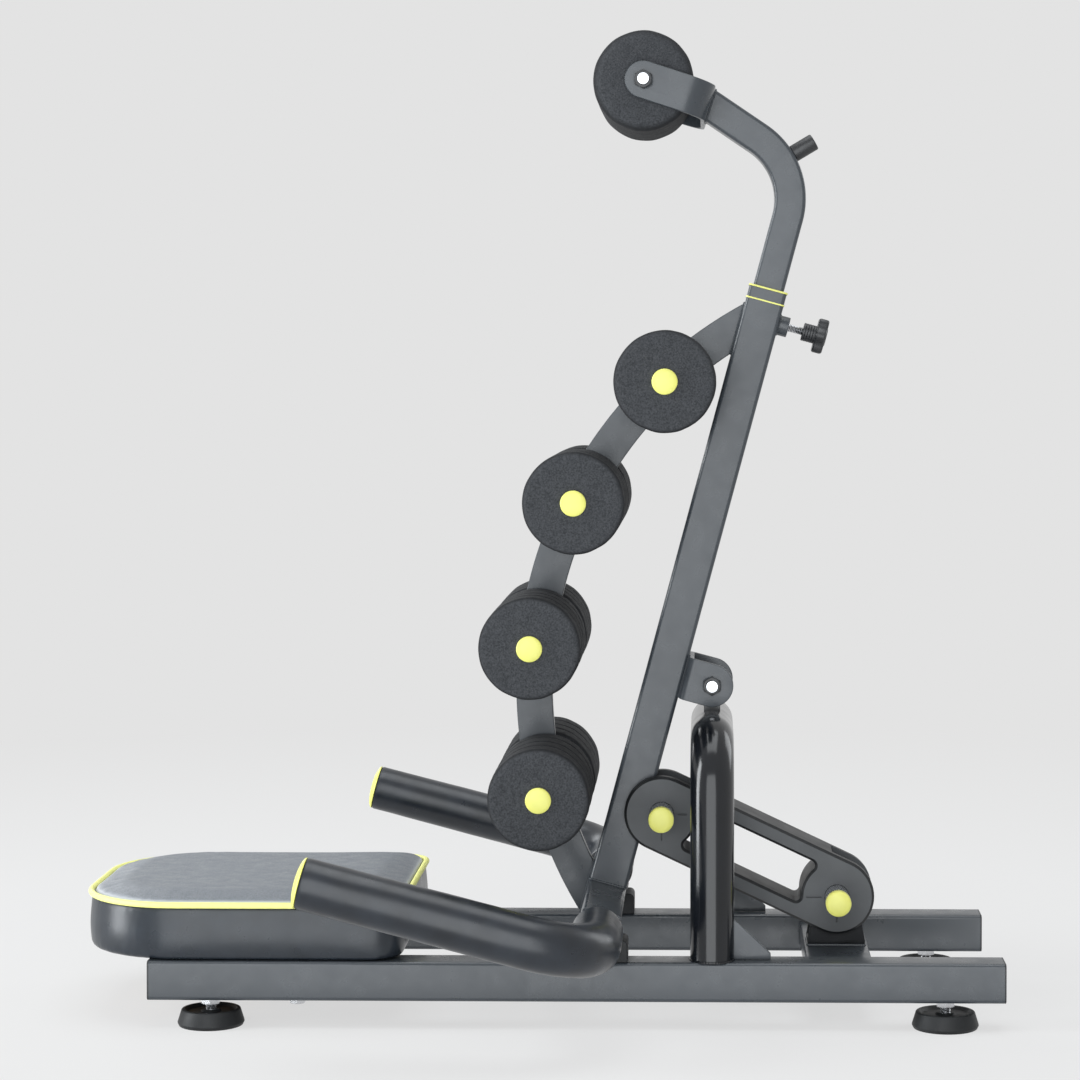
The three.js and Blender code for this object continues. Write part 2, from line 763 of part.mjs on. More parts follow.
// A bolt along y with its head on the right, and its nut on the left.
function makeBolt(parent, name, width, radius, place) {
  const y = width / 2 + gap;
  const tail = -y - nut_height - bolt_tail;
  const chamfer = radius * bolt_chamfer_share;
  const profile = [[0, tail], [radius - chamfer, tail], [radius, tail + chamfer], [radius, y], [0, y]];
  const shank = turned(profile, small_sides);
  const head = rod(bolt_head_radius, y, y + bolt_head_height, hex_sides);
  add(parent, `${name}_bolt`, join(shank, head), bright_steel).position.copy(place);
  const nut = rod(bolt_head_radius, -y - nut_height, -y, hex_sides);
  const bore = rod(radius + gap, -y - nut_height - overrun, -y + overrun, small_sides);
  add(parent, `${name}_nut`, cut(nut, bore), black_plastic).position.copy(place);
}

// The clevis on the post's back, and the bolt that it turns on.
function makeClevis() {
  const back = pivot_back - half_post - gap;
  const place = new THREE.Vector3(pivot_back, 0, pivot_up);
  const clevis = yoke(clevis_width, clevis_thickness, clevis_bend, back, clevis_radius, bolt_radius + gap);
  add(lever, 'clevis_bracket', clevis, frame_paint).position.copy(place);
  makeBolt(lever, 'pivot', clevis_width, bolt_radius, place);
}

// A peg is a rod with a domed cap on each end. It is coloured as its caps, which are what shows of it.
function pegGeometry() {
  const end = link_width / 2 + peg_reach;
  const cap_foot = end - peg_cap_length;
  const half = [
    [peg_radius, cap_foot],
    [peg_cap_radius, cap_foot],
    ...dome(peg_cap_radius, end - peg_cap_dome, peg_cap_dome),
  ];
  const mirrored = half.map(([radius, height]) => [radius, -height]).reverse();
  return turned([...mirrored, ...half], round_sides);
}

function makePegs() {
  const half = link_width / 2;
  // The front bracket is a thick eye welded to the post's back.
  const front_outline = [
    ...arc(0, 0, bracket_radius, -90, 90, 8),
    new THREE.Vector2(half_post + gap - front_peg_back, bracket_radius),
    new THREE.Vector2(half_post + gap - front_peg_back, -bracket_radius),
  ];
  const bore = circle(0, 0, peg_radius + gap, round_sides);
  const front = alongY(front_outline, [bore], -half_post, half_post);
  const place = new THREE.Vector3(front_peg_back, 0, front_peg_up);
  add(lever, 'front_peg_bracket', front, frame_paint).position.copy(place);
  add(lever, 'front_peg', pegGeometry(), yellow_plastic).position.copy(place);

  // The rear bracket is two plates on one foot, which stands on the rear cross member.
  const foot = rail_middle + cross_height / 2 + gap - rear_peg.z;
  const rear_outline = [
    ...arc(0, 0, bracket_radius, 0, 180, 12),
    new THREE.Vector2(-bracket_base / 2, foot + bracket_wall),
    new THREE.Vector2(-bracket_base / 2, foot),
    new THREE.Vector2(bracket_base / 2, foot),
    new THREE.Vector2(bracket_base / 2, foot + bracket_wall),
  ];
  const inside = half_post - bracket_wall;
  const low = foot + bracket_wall;
  const high = bracket_radius + overrun;
  const hollow = new THREE.BoxGeometry(bracket_base + 2 * overrun, 2 * inside, high - low);
  hollow.translate(0, 0, (low + high) / 2);
  const rear = cut(alongY(rear_outline, [bore], -half_post, half_post), hollow);
  add(bench, 'rear_peg_bracket', rear, frame_paint).position.copy(rear_peg);
  add(bench, 'rear_peg', pegGeometry(), yellow_plastic).position.copy(rear_peg);
}

// The rubber link, drawn flat from the front peg to the rear one and then turned into place.
function makeLink() {
  const length = front_peg.distanceTo(rear_peg);
  const half = link_width / 2;
  const outline = [
    ...arc(0, 0, link_radius, 90, 270, 16),
    ...arc(length, 0, link_radius, -90, 90, 16),
  ];
  const strand = link_radius - link_strand;
  const corner_deg = THREE.MathUtils.radToDeg(Math.asin((strand - link_fillet) / link_window_radius));
  const corner_x = Math.sqrt(link_window_radius ** 2 - (strand - link_fillet) ** 2) + link_fillet / 2;
  const window_outline = [
    ...arc(0, 0, link_window_radius, -corner_deg, corner_deg, 5),
    new THREE.Vector2(corner_x, strand),
    new THREE.Vector2(length - corner_x, strand),
    ...arc(length, 0, link_window_radius, 180 - corner_deg, 180 + corner_deg, 5),
    new THREE.Vector2(length - corner_x, -strand),
    new THREE.Vector2(corner_x, -strand),
  ];
  const bores = [0, length].map((x) => circle(x, 0, peg_radius + gap, round_sides));
  const slab = alongY(outline, [window_outline, ...bores], -half, half);
  const fork_floor = bracket_radius + fork_play;
  const slot = 2 * (half_post + bracket_play);
  const depth = link_radius + overrun + fork_floor;
  const fork = () => new THREE.BoxGeometry(depth, slot, 2 * (link_radius + overrun));
  const front_fork = fork().translate(fork_floor - depth / 2, 0, 0);
  const rear_fork = fork().translate(length - fork_floor + depth / 2, 0, 0);
  const mesh = add(bench, 'rubber_link', cut(slab, front_fork, rear_fork), link_rubber);
  mesh.position.copy(front_peg);
  mesh.rotation.y = Math.atan2(front_peg.z - rear_peg.z, rear_peg.x - front_peg.x);
}

// The seat's outline, so far in from its edge, as stations that go round from the rear right corner.
function seatStations(inset, height) {
  const low = seat_front + inset;
  const high = seat_front + seat_length - inset;
  const y = seat_width / 2 - inset;
  const rear = Math.max(seat_rear_corner - inset, seat_rear_corner * least_corner_share);
  const front = Math.max(seat_front_corner - inset, seat_front_corner * least_corner_share);
  const corners = [
    [high - rear, y - rear, rear, 0],
    [low + front, y - front, front, 90],
    [low + front, -y + front, front, 180],
    [high - rear, -y + rear, rear, 270],
  ];
  return corners.flatMap(([cx, cy, radius, from]) =>
    arc(cx, cy, radius, from, from + 90, seat_corner_steps).map((p, step) => {
      const angle = rad(from + 90 * step / seat_corner_steps);
      const heading = new THREE.Vector3(-Math.sin(angle), Math.cos(angle), 0);
      return { place: new THREE.Vector3(p.x, p.y, height), heading };
    }));
}

function makeSeat() {
  const outline = (inset, height) => seatStations(inset, height).map(({ place }) => place);
  const flatOutline = (inset) => outline(inset, 0).map((p) => new THREE.Vector2(p.x, p.y));
  const foot = rail_top + gap;
  const seam = foot + seat_side;
  const middle_x = seat_front + seat_length / 2;
  const rings = [
    outline(side_bulge, foot),
    outline(0, foot + seat_side / 3),
    outline(piping_radius, seam),
  ];
  crown_inset_shares.forEach((inset_share, i) => {
    const inset = piping_radius + inset_share * seat_width / 2;
    rings.push(outline(inset, seam + crown_rise_shares[i] * seat_crown));
  });
  const bottom = new THREE.Vector3(middle_x, 0, foot);
  const top = new THREE.Vector3(middle_x, 0, seam + seat_crown);
  const flat = new THREE.Vector3(0, 0, 1);
  const stations = seatStations(piping_radius, seam);
  const groove = hoop(stations, flat, circle(0, 0, piping_radius + gap, piping_sides));
  const board_top = foot + board_thickness;
  const pocket = alongZ(flatOutline(board_inset - gap), [], foot - overrun, board_top + gap);
  const cushion = cut(loft(rings, bottom, top), groove, pocket);
  add(bench, 'seat_cushion', cushion, seat_cloth);
  const piping = hoop(stations, flat, circle(0, 0, piping_radius, piping_sides));
  add(bench, 'seat_piping', piping, yellow_plastic);
  add(bench, 'seat_board', alongZ(flatOutline(board_inset), [], foot, board_top), board_wood);
}

// Headrest: a guide bush in the post's top, the curved upper tube with its stub, the fork and the roller.
function makeHeadrest() {
  const clear = gap + bush_wall + gap;
  const upper_size = post_size - 2 * (post_wall + clear);
  const bush_outer = post_size - 2 * (post_wall + gap);
  const bush_inner = bush_outer - 2 * bush_wall;
  const corner = post_corner - post_wall;
  const flange_size = post_size + 2 * bush_lip;
  const hole = roundedBox(bush_inner, bush_inner, corner, 2);
  const bush_top = post_top + bush_flange;
  const sleeve_outline = roundedBox(bush_outer, bush_outer, corner, 2);
  const flange_outline = roundedBox(flange_size, flange_size, post_corner, 2);
  const sleeve = alongZ(sleeve_outline, [hole], post_top - bush_depth, bush_top);
  const flange = alongZ(flange_outline, [hole], post_top + gap, bush_top);
  add(lever, 'guide_bush', join(sleeve, flange), yellow_plastic);

  const turn = rad(upper_turn_deg);
  const bend_start = post_top + upper_rise;
  const corner_z = bend_start + upper_bend * Math.tan(turn / 2);
  const out = new THREE.Vector3(-Math.sin(turn), 0, Math.cos(turn));
  const to_web = upper_bend * Math.tan(turn / 2) + upper_reach;
  const web_place = new THREE.Vector3(0, 0, corner_z).addScaledVector(out, to_web);
  const corners = [
    new THREE.Vector3(0, 0, post_top - upper_insert),
    new THREE.Vector3(0, 0, corner_z),
    web_place.clone().addScaledVector(out, upper_size),
  ];
  const inner_size = upper_size - 2 * upper_wall;
  const outer = () => roundedBox(upper_size, upper_size, upper_corner, 2);
  const inner = () => roundedBox(inner_size, inner_size, upper_corner - upper_wall, 2);
  const sideways = new THREE.Vector3(0, 1, 0);
  const tube = pipe(bentPath(corners, upper_bend, bend_steps), sideways, outer, inner);

  const fork = new THREE.Group();
  const tilt = rad(fork_tilt_deg);
  const ahead = new THREE.Vector3(-Math.cos(tilt), 0, Math.sin(tilt));
  fork.rotation.y = tilt;
  const below = new THREE.Vector3(-Math.sin(tilt), 0, -Math.cos(tilt));
  fork.position.copy(web_place).addScaledVector(ahead, fork_back).addScaledVector(below, fork_drop);
  lever.add(fork);
  const trim_reach = fork_back + gap;
  const trim = new THREE.BoxGeometry(2 * trim_reach, 2 * post_size, 2 * upper_bend + 2 * fork_back);
  trim.rotateY(tilt).translate(fork.position.x, 0, fork.position.z);
  add(lever, 'upper_tube', cut(tube, trim), frame_paint);

  const stub_angle = rad(stub_turn_deg);
  const stub_foot = upper_bend + upper_size / 2 + gap;
  const stub = turned([
    [0, 0],
    [stub_radius, 0],
    [stub_radius, stub_length - stub_chamfer],
    [stub_radius - stub_chamfer, stub_length],
    [0, stub_length],
  ], small_sides);
  const stub_mesh = add(lever, 'top_stub', lyingAlongX(stub).rotateY(-stub_angle), black_plastic);
  stub_mesh.position.set(
    -upper_bend + stub_foot * Math.cos(stub_angle),
    0,
    bend_start + stub_foot * Math.sin(stub_angle),
  );

  const fork_width = neck_roller_width + 2 * (fork_side_play + fork_thickness);
  const bolt_way = neck_bolt_radius + gap;
  const bracket = yoke(fork_width, fork_thickness, fork_bend, fork_back, fork_radius, bolt_way);
  add(fork, 'neck_fork', bracket.rotateZ(Math.PI), frame_paint);
  makeBolt(fork, 'neck', fork_width, neck_bolt_radius, new THREE.Vector3());
  const bore = neck_bolt_radius + axle_play;
  const foam = foamSleeve(neck_roller_radius, bore, neck_roller_width, neck_roller_edge, 0, round_sides);
  add(fork, 'neck_roller', foam, roller_foam).position.y = -neck_roller_width / 2;
}

// The height knob's screw runs through a boss on the post's back and presses on the upper tube.
function makeKnob() {
  const z = post_top - knob_drop;
  const foot = half_post + gap;
  const boss = turned([
    [screw_radius + gap, 0],
    [boss_radius, 0],
    [boss_radius, boss_height],
    [screw_radius + gap, boss_height],
    [screw_radius + gap, 0],
  ], small_sides);
  add(lever, 'knob_boss', lyingAlongX(boss), frame_paint).position.set(foot, 0, z);

  const tip = half_post - post_wall - gap - bush_wall;
  const hub_foot = foot + boss_height + screw_clear;
  const head_foot = hub_foot + hub_height;
  const steps = knob_lobes * lobe_steps;
  const outline = [];
  for (let i = 0; i < steps; i++) {
    const angle = 2 * Math.PI * i / steps;
    const dip = knob_dip * (1 - Math.cos(knob_lobes * angle)) / 2;
    const radius = knob_radius - knob_chamfer - dip;
    outline.push(new THREE.Vector2(radius * Math.cos(angle), radius * Math.sin(angle)));
  }
  const head = new THREE.ExtrudeGeometry(new THREE.Shape(outline), {
    depth: knob_height - 2 * knob_chamfer,
    bevelThickness: knob_chamfer,
    bevelSize: knob_chamfer,
    bevelSegments: 1,
  });
  head.rotateY(Math.PI / 2).translate(head_foot + knob_chamfer, 0, 0);
  const screw = lyingAlongX(rod(screw_radius, tip, head_foot + knob_chamfer, small_sides));
  const hub = lyingAlongX(rod(hub_radius, hub_foot, head_foot + knob_chamfer, small_sides));
  add(lever, 'height_knob', join(head, hub, screw), black_plastic).position.z = z;
}

makeRails();
makeFeet();
makeCrossMembers();
makeArch();
makeStopBlocks();
makePostAndHousing();
makeHandles();
makeBowBar();
makeBackRollers();
makeClevis();
makePegs();
makeLink();
makeSeat();
makeHeadrest();
makeKnob();

export default bench;
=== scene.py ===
# %% [markdown]
# # Dressing a spinal exercise bench
# The bench is a padded seat on two steel rails. Behind the seat a leaning post carries four pairs of foam
# rollers, a U-shaped handle and a headrest, and it rocks on an arch against a thick rubber link.
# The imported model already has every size, place and joint. This lesson gives each piece its fine shape and
# its finish, and hangs it on the body that moves it.

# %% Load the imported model
import json
import math

import bmesh
import bpy
from mathutils import Matrix, Vector, noise


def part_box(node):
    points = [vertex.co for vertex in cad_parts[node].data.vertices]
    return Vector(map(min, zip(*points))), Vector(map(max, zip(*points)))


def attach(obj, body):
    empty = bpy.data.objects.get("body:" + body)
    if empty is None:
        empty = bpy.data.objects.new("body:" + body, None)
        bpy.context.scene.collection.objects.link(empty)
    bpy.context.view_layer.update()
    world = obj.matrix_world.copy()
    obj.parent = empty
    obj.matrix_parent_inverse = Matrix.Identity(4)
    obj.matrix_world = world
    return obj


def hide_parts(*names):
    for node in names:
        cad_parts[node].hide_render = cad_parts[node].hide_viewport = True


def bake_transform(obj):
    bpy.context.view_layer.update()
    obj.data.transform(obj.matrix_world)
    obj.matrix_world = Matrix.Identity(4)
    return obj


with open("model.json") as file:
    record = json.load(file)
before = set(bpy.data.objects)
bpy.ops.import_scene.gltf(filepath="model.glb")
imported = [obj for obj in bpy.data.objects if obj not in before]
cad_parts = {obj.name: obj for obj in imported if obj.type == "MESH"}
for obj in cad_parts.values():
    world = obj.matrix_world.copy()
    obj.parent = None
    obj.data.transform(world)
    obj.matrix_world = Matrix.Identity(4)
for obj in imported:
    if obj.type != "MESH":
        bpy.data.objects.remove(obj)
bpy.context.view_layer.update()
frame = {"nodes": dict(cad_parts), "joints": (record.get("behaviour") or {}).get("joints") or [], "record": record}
mm = 0.001

# %% [markdown]
# Nothing here is placed by eye. A node's box, or how far it reaches along a direction, gives the sizes and
# the places of the fine piece that takes its place, so the two always agree.

# %% Read places and sizes off the model
X = Vector((1, 0, 0))
Y = Vector((0, 1, 0))
Z = Vector((0, 0, 1))
joints = {joint["name"]: joint for joint in frame["joints"]}
body_of = {}
for body, members in frame["record"]["behaviour"]["bodies"].items():
    for member in members:
        body_of[member] = body


def centre(node):
    low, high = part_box(node)
    return (low + high) / 2


def reach(node, direction, start):
    """The nearest and the farthest that a node lies along a direction from a point."""
    distances = [(v.co - start).dot(direction) for v in frame["nodes"][node].data.vertices]
    return min(distances), max(distances)


def basis(across, upward, origin):
    """A frame whose x and y axes are the two directions given."""
    third = across.cross(upward)
    rows = [[across[i], upward[i], third[i], origin[i]] for i in range(3)]
    return Matrix(rows + [[0, 0, 0, 1]])


def along(direction, origin):
    """A frame whose z axis is the direction given."""
    across = Y if abs(direction.dot(Y)) < 0.9 else X
    across = (across - direction * across.dot(direction)).normalized()
    return basis(across, direction.cross(across), origin)


foot = centre("handle_housing")  # the lever's own origin, at the foot of its post
up = Vector(joints["headrest_height"]["axis"])
back = Vector((up.z, 0, -up.x))
lever_side = basis(back, up, foot)  # outlines on the lever are drawn in this frame
sides = {"left": -1, "right": 1}
print("the post leans", round(math.degrees(math.asin(up.x)), 2), "degrees")

# %% [markdown]
# The camera stands about two thirds as high as the bench, a little to the right of its middle, and looks
# down slightly. A long lens from about three metres keeps the rails nearly parallel.

# %% Camera
camera_place = (0.1623, -2.8812, 0.6267)
camera_down = math.radians(1.193)
camera_left = math.radians(1.174)
camera_lens = 96.40
camera_sensor = 36
camera_shift = -0.10


def in_scene(name, data):
    """A new object in the scene, from a camera, a lamp, a curve or a mesh."""
    made = bpy.data.objects.new(name, data)
    bpy.context.scene.collection.objects.link(made)
    return made


camera_data = bpy.data.cameras.new("bench_camera")
camera_data.lens = camera_lens
camera_data.sensor_width = camera_sensor
camera_data.shift_x = camera_shift
camera_data.shift_y = camera_shift
camera = in_scene("bench_camera", camera_data)
camera.location = camera_place
camera.rotation_euler = (math.pi / 2 - camera_down, 0, camera_left)
bpy.context.scene.camera = camera
bpy.context.scene.view_settings.view_transform = "Standard"
print("camera", camera_place)

# %% [markdown]
# A catalogue picture has one even pale tone behind the object. The world gives that tone to what the camera
# and the reflections see, and a lower, plain level to everything that is lit. The floor has the same tone,
# with a share of true diffuse light near the bench, which is what keeps the soft shadow under it. It hides
# no lamp and shows in no reflection, so the low pieces shine as the high ones do.

# %% World and floor
white = (1, 1, 1, 1)
pale = (0.768, 0.768, 0.768, 1)
floor_colour = (0.9, 0.9, 0.9, 1)
ambient_level = 0.24
floor_reach = 60
floor_lit_share = 0.22  # of true diffuse light under the bench
floor_lift = 1.04  # of the plain tone there, to make up for that share
shadow_reach = (0.9, 2.2)  # from the bench, where the floor passes into the plain tone


def link(tree, start, end):
    tree.links.new(start, end)


def add_node(tree, kind, inputs, **settings):
    """A shader node. Each input gets a value, or a link from another node's output."""
    node = tree.nodes.new(kind)
    for name, value in settings.items():
        setattr(node, name, value)
    for name, value in inputs.items():
        if isinstance(value, bpy.types.NodeSocket):
            link(tree, value, node.inputs[name])
        else:
            node.inputs[name].default_value = value
    return node


def seen_directly(tree):
    """One for camera, glossy and transmission rays, else zero."""
    rays = tree.nodes.new("ShaderNodeLightPath").outputs
    inputs = {0: rays["Is Camera Ray"], 1: rays["Is Glossy Ray"]}
    first = add_node(tree, "ShaderNodeMath", inputs, operation="MAXIMUM")
    inputs = {0: first.outputs[0], 1: rays["Is Transmission Ray"]}
    return add_node(tree, "ShaderNodeMath", inputs, operation="MAXIMUM").outputs[0]


def mixed_shaders(tree, share, first, second):
    inputs = {0: share, 1: first.outputs[0], 2: second.outputs[0]}
    return add_node(tree, "ShaderNodeMixShader", inputs).outputs[0]


def over_shadow(tree, distance, under_bench):
    """A number under the bench that runs to one where its shadow ends."""
    inputs = {"Value": distance, "To Min": under_bench, "To Max": 1}
    inputs |= {"From Min": shadow_reach[0], "From Max": shadow_reach[1]}
    return add_node(tree, "ShaderNodeMapRange", inputs).outputs["Result"]


world = bpy.data.worlds.new("studio")
bpy.context.scene.world = world
world.use_nodes = True
tree = world.node_tree
tree.nodes.clear()
ambient = add_node(tree, "ShaderNodeBackground", {"Color": white, "Strength": ambient_level})
backdrop = add_node(tree, "ShaderNodeBackground", {"Color": pale})
choice = mixed_shaders(tree, seen_directly(tree), ambient, backdrop)
add_node(tree, "ShaderNodeOutputWorld", {"Surface": choice})

floor_mesh = bpy.data.meshes.new("studio_floor")
corner = floor_reach / 2
floor_corners = [(-corner, -corner, 0), (corner, -corner, 0), (corner, corner, 0), (-corner, corner, 0)]
floor_mesh.from_pydata(floor_corners, [], [(0, 1, 2, 3)])
floor = in_scene("studio_floor", floor_mesh)
floor_finish = bpy.data.materials.new("pale_floor")
floor_finish.use_nodes = True
tree = floor_finish.node_tree
tree.nodes.clear()
place = tree.nodes.new("ShaderNodeTexCoord").outputs["Object"]
distance = add_node(tree, "ShaderNodeVectorMath", {0: place}, operation="LENGTH").outputs["Value"]
lit = add_node(tree, "ShaderNodeBsdfDiffuse", {"Color": floor_colour})
lift = over_shadow(tree, distance, floor_lift)
tone = add_node(tree, "ShaderNodeEmission", {"Color": pale, "Strength": lift})
inputs = {0: seen_directly(tree), 1: over_shadow(tree, distance, 1 - floor_lit_share)}
share = add_node(tree, "ShaderNodeMath", inputs, operation="MULTIPLY").outputs[0]
add_node(tree, "ShaderNodeOutputMaterial", {"Surface": mixed_shaders(tree, share, lit, tone)})
floor_mesh.materials.append(floor_finish)
floor.visible_glossy = False
floor.visible_shadow = False
print("world and floor ready")

# %% [markdown]
# The bench is glossy, so its lamps are shaped by what they look like in it. One very large soft panel in
# front is what every flat face shows, and the middle of every tube. A tall, bright panel on the left draws a
# second streak down the tubes, and the dark between the two gives them their roundness.

# %% Lamps
lamp_colour = (0.94, 0.975, 1.0)
lamps = [
    # name, place, what it faces, width, height, watts
    ("front_panel", (-0.4, -4.6, 0.9), (-0.4, 0, 0.9), 4.2, 4.8, 188),
    ("left_strip", (-3.4, -0.65, 1.1), (0, 0, 0.5), 1.2, 3.2, 125),
    ("right_softbox", (3.6, 2.6, 2.0), (0, 0, 0.4), 1.8, 2.4, 34),
    ("back_softbox", (-2.6, 4.0, 2.2), (0, 0, 0.4), 2.0, 2.4, 40),
    ("top_softbox", (0.1, 0.1, 4.4), (0.1, 0.1, 0), 3.2, 3.2, 90),
]
for name, place, aim, width, height, watts in lamps:
    lamp = bpy.data.lights.new(name, "AREA")
    lamp.shape = "RECTANGLE"
    lamp.size = width
    lamp.size_y = height
    lamp.energy = watts
    lamp.color = lamp_colour
    stand = in_scene(name, lamp)
    stand.location = place
    stand.rotation_euler = (Vector(aim) - Vector(place)).to_track_quat("-Z", "Y").to_euler()
print("lamps:", len(lamps))

# %% [markdown]
# Every finish starts from one shader. On top of its own colour and gloss it gets a little uneven colour, a
# little uneven gloss, and a fine relief. The three come from noise in the piece's own space, so nothing
# slides when the bench moves, and no picture is needed.

# %% Finishes: helpers
noise_middle = (0.3, 0.7)  # most of a noise's values lie between these two
finishes = {}


def finish(name, colour, roughness, metallic=0.0, specular=0.5):
    material = bpy.data.materials.new(name)
    material.use_nodes = True
    shader = material.node_tree.nodes["Principled BSDF"]
    shader.inputs["Base Color"].default_value = (*colour, 1)
    shader.inputs["Roughness"].default_value = roughness
    shader.inputs["Metallic"].default_value = metallic
    shader.inputs["Specular IOR Level"].default_value = specular
    material.diffuse_color = (*colour, 1)
    return material


def shader_input(material, name):
    return material.node_tree.nodes["Principled BSDF"].inputs[name]


def piece_space(material, kind):
    """Where a shaded point is, or how it faces, in the piece's own space."""
    return material.node_tree.nodes.new("ShaderNodeTexCoord").outputs[kind]


def noise_texture(material, scale, detail=3.0, stretch=(1, 1, 1)):
    """Noise with so many features a metre."""
    tree = material.node_tree
    inputs = {"Vector": piece_space(material, "Object"), "Scale": stretch}
    mapping = add_node(tree, "ShaderNodeMapping", inputs)
    inputs = {"Vector": mapping.outputs["Vector"], "Scale": scale, "Detail": detail}
    return add_node(tree, "ShaderNodeTexNoise", inputs).outputs["Fac"]


def pebbles(material, scale):
    """Small rounded cells with creases between them, as on embossed sheet or cut foam."""
    inputs = {"Vector": piece_space(material, "Object"), "Scale": scale}
    return add_node(material.node_tree, "ShaderNodeTexVoronoi", inputs).outputs["Distance"]


def shade(colour, amount):
    return tuple(part * amount for part in colour)


def uneven_colour(material, value, darker, lighter):
    """The base colour runs between two colours with a value."""
    ramp = add_node(material.node_tree, "ShaderNodeValToRGB", {"Fac": value})
    for stop, position, colour in zip(ramp.color_ramp.elements, noise_middle, (darker, lighter)):
        stop.position = position
        stop.color = (*colour, 1)
    link(material.node_tree, ramp.outputs["Color"], shader_input(material, "Base Color"))


def paint_light_by_facing(material, axis, low, high, colour):
    """Another base colour, as painted light or shade, where the surface turns away from an axis of the piece,
    between two cosines.
    """
    tree = material.node_tree
    base = shader_input(material, "Base Color")
    parts = add_node(tree, "ShaderNodeSeparateXYZ", {"Vector": piece_space(material, "Normal")})
    size = add_node(tree, "ShaderNodeMath", {0: parts.outputs[axis]}, operation="ABSOLUTE")
    inputs = {"Value": size.outputs[0], "From Min": low, "From Max": high}
    share = add_node(tree, "ShaderNodeMapRange", inputs).outputs["Result"]
    blend = tree.nodes.new("ShaderNodeMix")
    blend.data_type = "RGBA"
    factor, away, towards = blend.inputs[0], blend.inputs[6], blend.inputs[7]
    away.default_value = (*colour, 1)
    link(tree, share, factor)
    link(tree, base.links[0].from_socket, towards)
    link(tree, blend.outputs[2], base)


def uneven_gloss(material, value, low, high):
    """The roughness runs between two numbers with a value."""
    inputs = {"Value": value, "From Min": noise_middle[0], "From Max": noise_middle[1]}
    inputs |= {"To Min": low, "To Max": high}
    spread = add_node(material.node_tree, "ShaderNodeMapRange", inputs)
    link(material.node_tree, spread.outputs["Result"], shader_input(material, "Roughness"))


def relief(material, value, depth, strength, under=None):
    """Fine bumps, so many millimetres deep. One relief can lie on another."""
    inputs = {"Height": value, "Distance": depth * mm, "Strength": strength}
    if under:
        inputs["Normal"] = under
    bump = add_node(material.node_tree, "ShaderNodeBump", inputs).outputs["Normal"]
    link(material.node_tree, bump, shader_input(material, "Normal"))
    return bump


def skinned(name, colour, roughness, specular, tint, gloss, grain):
    """A painted or moulded finish. Each of its three noises starts with its features a metre.

    The tint goes on with its detail and the darkest and lightest shares of the colour, the gloss with its
    lowest and highest roughness, and the grain with its detail, its depth in mm and its strength."""
    material = finish(name, colour, roughness, 0.0, specular)
    scale, detail, darkest, lightest = tint
    tint_noise = noise_texture(material, scale, detail)
    uneven_colour(material, tint_noise, shade(colour, darkest), shade(colour, lightest))
    scale, low, high = gloss
    uneven_gloss(material, noise_texture(material, scale), low, high)
    scale, detail, depth, strength = grain
    relief(material, noise_texture(material, scale, detail), depth, strength)
    return material


print("finish helpers ready")

# %% [markdown]
# The frame is powder coated in a cool graphite grey. Powder melts into a skin with a faint orange peel, so
# the finish is satin, its colour is nearly even, and its relief is wide and very shallow. The arch has a
# glossier black coat over the same kind of skin. The rear bracket is painted a matt black, as painted shade
# under the link.

# %% Painted finishes
graphite = (0.044, 0.051, 0.059)
gloss_black = (0.005, 0.006, 0.008)
bracket_painted_shade_black = (0.010, 0.011, 0.013)
paint = skinned(
    "graphite_powder_coat", graphite, roughness=0.3, specular=0.5,
    tint=(9, 5, 0.93, 1.07), gloss=(60, 0.25, 0.35), grain=(900, 2, 0.06, 0.15),
)
arch_coat = skinned(
    "gloss_black_coat", gloss_black, roughness=0.17, specular=0.46,
    tint=(12, 4, 0.8, 1.3), gloss=(45, 0.13, 0.2), grain=(500, 2, 0.05, 0.2),
)
# painted shade: the rear bracket's matt black stands for the shade under the link
bracket_painted_shade_coat = finish("painted_shade_matt_black_coat", bracket_painted_shade_black, 0.55, 0.0, 0.25)
uneven_gloss(bracket_painted_shade_coat, noise_texture(bracket_painted_shade_coat, 50), 0.48, 0.6)
relief(bracket_painted_shade_coat, noise_texture(bracket_painted_shade_coat, 900, 2), 0.06, 0.5)
finishes["frame_paint"] = paint
finishes["arch_paint"] = arch_coat
print("painted finishes:", paint.name, arch_coat.name, bracket_painted_shade_coat.name)

# %% [markdown]
# Steel that is left bright is turned or drawn, so its fine lines run round or along the piece. A stretched
# noise gives those lines both to the gloss and to the relief.

# %% Bright steel
steel_colour = (0.62, 0.63, 0.65)
steel = finish("bright_steel", steel_colour, 0.25, 1.0)
uneven_colour(steel, noise_texture(steel, 30, 4), shade(steel_colour, 0.9), shade(steel_colour, 1.08))
drawn_lines = noise_texture(steel, 120, 3, (8, 1, 8))
uneven_gloss(steel, drawn_lines, 0.18, 0.34)
relief(steel, drawn_lines, 0.03, 0.5)
finishes["bright_steel"] = steel
finishes["axle_with_caps"] = steel
print("bright steel ready")

# %% [markdown]
# The caps are moulded in one bright lemon yellow. A moulded plastic is even in colour, with a satin skin
# that has a faint spark-eroded grain. The piping is the same yellow as a soft extruded cord.

# %% Yellow trim
lemon = (0.77, 0.76, 0.18)
cap_plastic = skinned(
    "yellow_cap_plastic", lemon, roughness=0.35, specular=0.5,
    tint=(70, 3, 0.95, 1.03), gloss=(150, 0.3, 0.42), grain=(2200, 2, 0.04, 0.5),
)
finishes["yellow_plastic"] = cap_plastic

piping_yellow = (0.95, 0.95, 0.30)
piping_cord = finish("yellow_piping", piping_yellow, 0.5, 0.0, 0.4)
dyed = noise_texture(piping_cord, 160, 3)
uneven_colour(piping_cord, dyed, shade(piping_yellow, 0.93), shade(piping_yellow, 1.04))
relief(piping_cord, pebbles(piping_cord, 900), 0.12, 0.5)
finishes["yellow_piping"] = piping_cord
print("yellow trim ready")
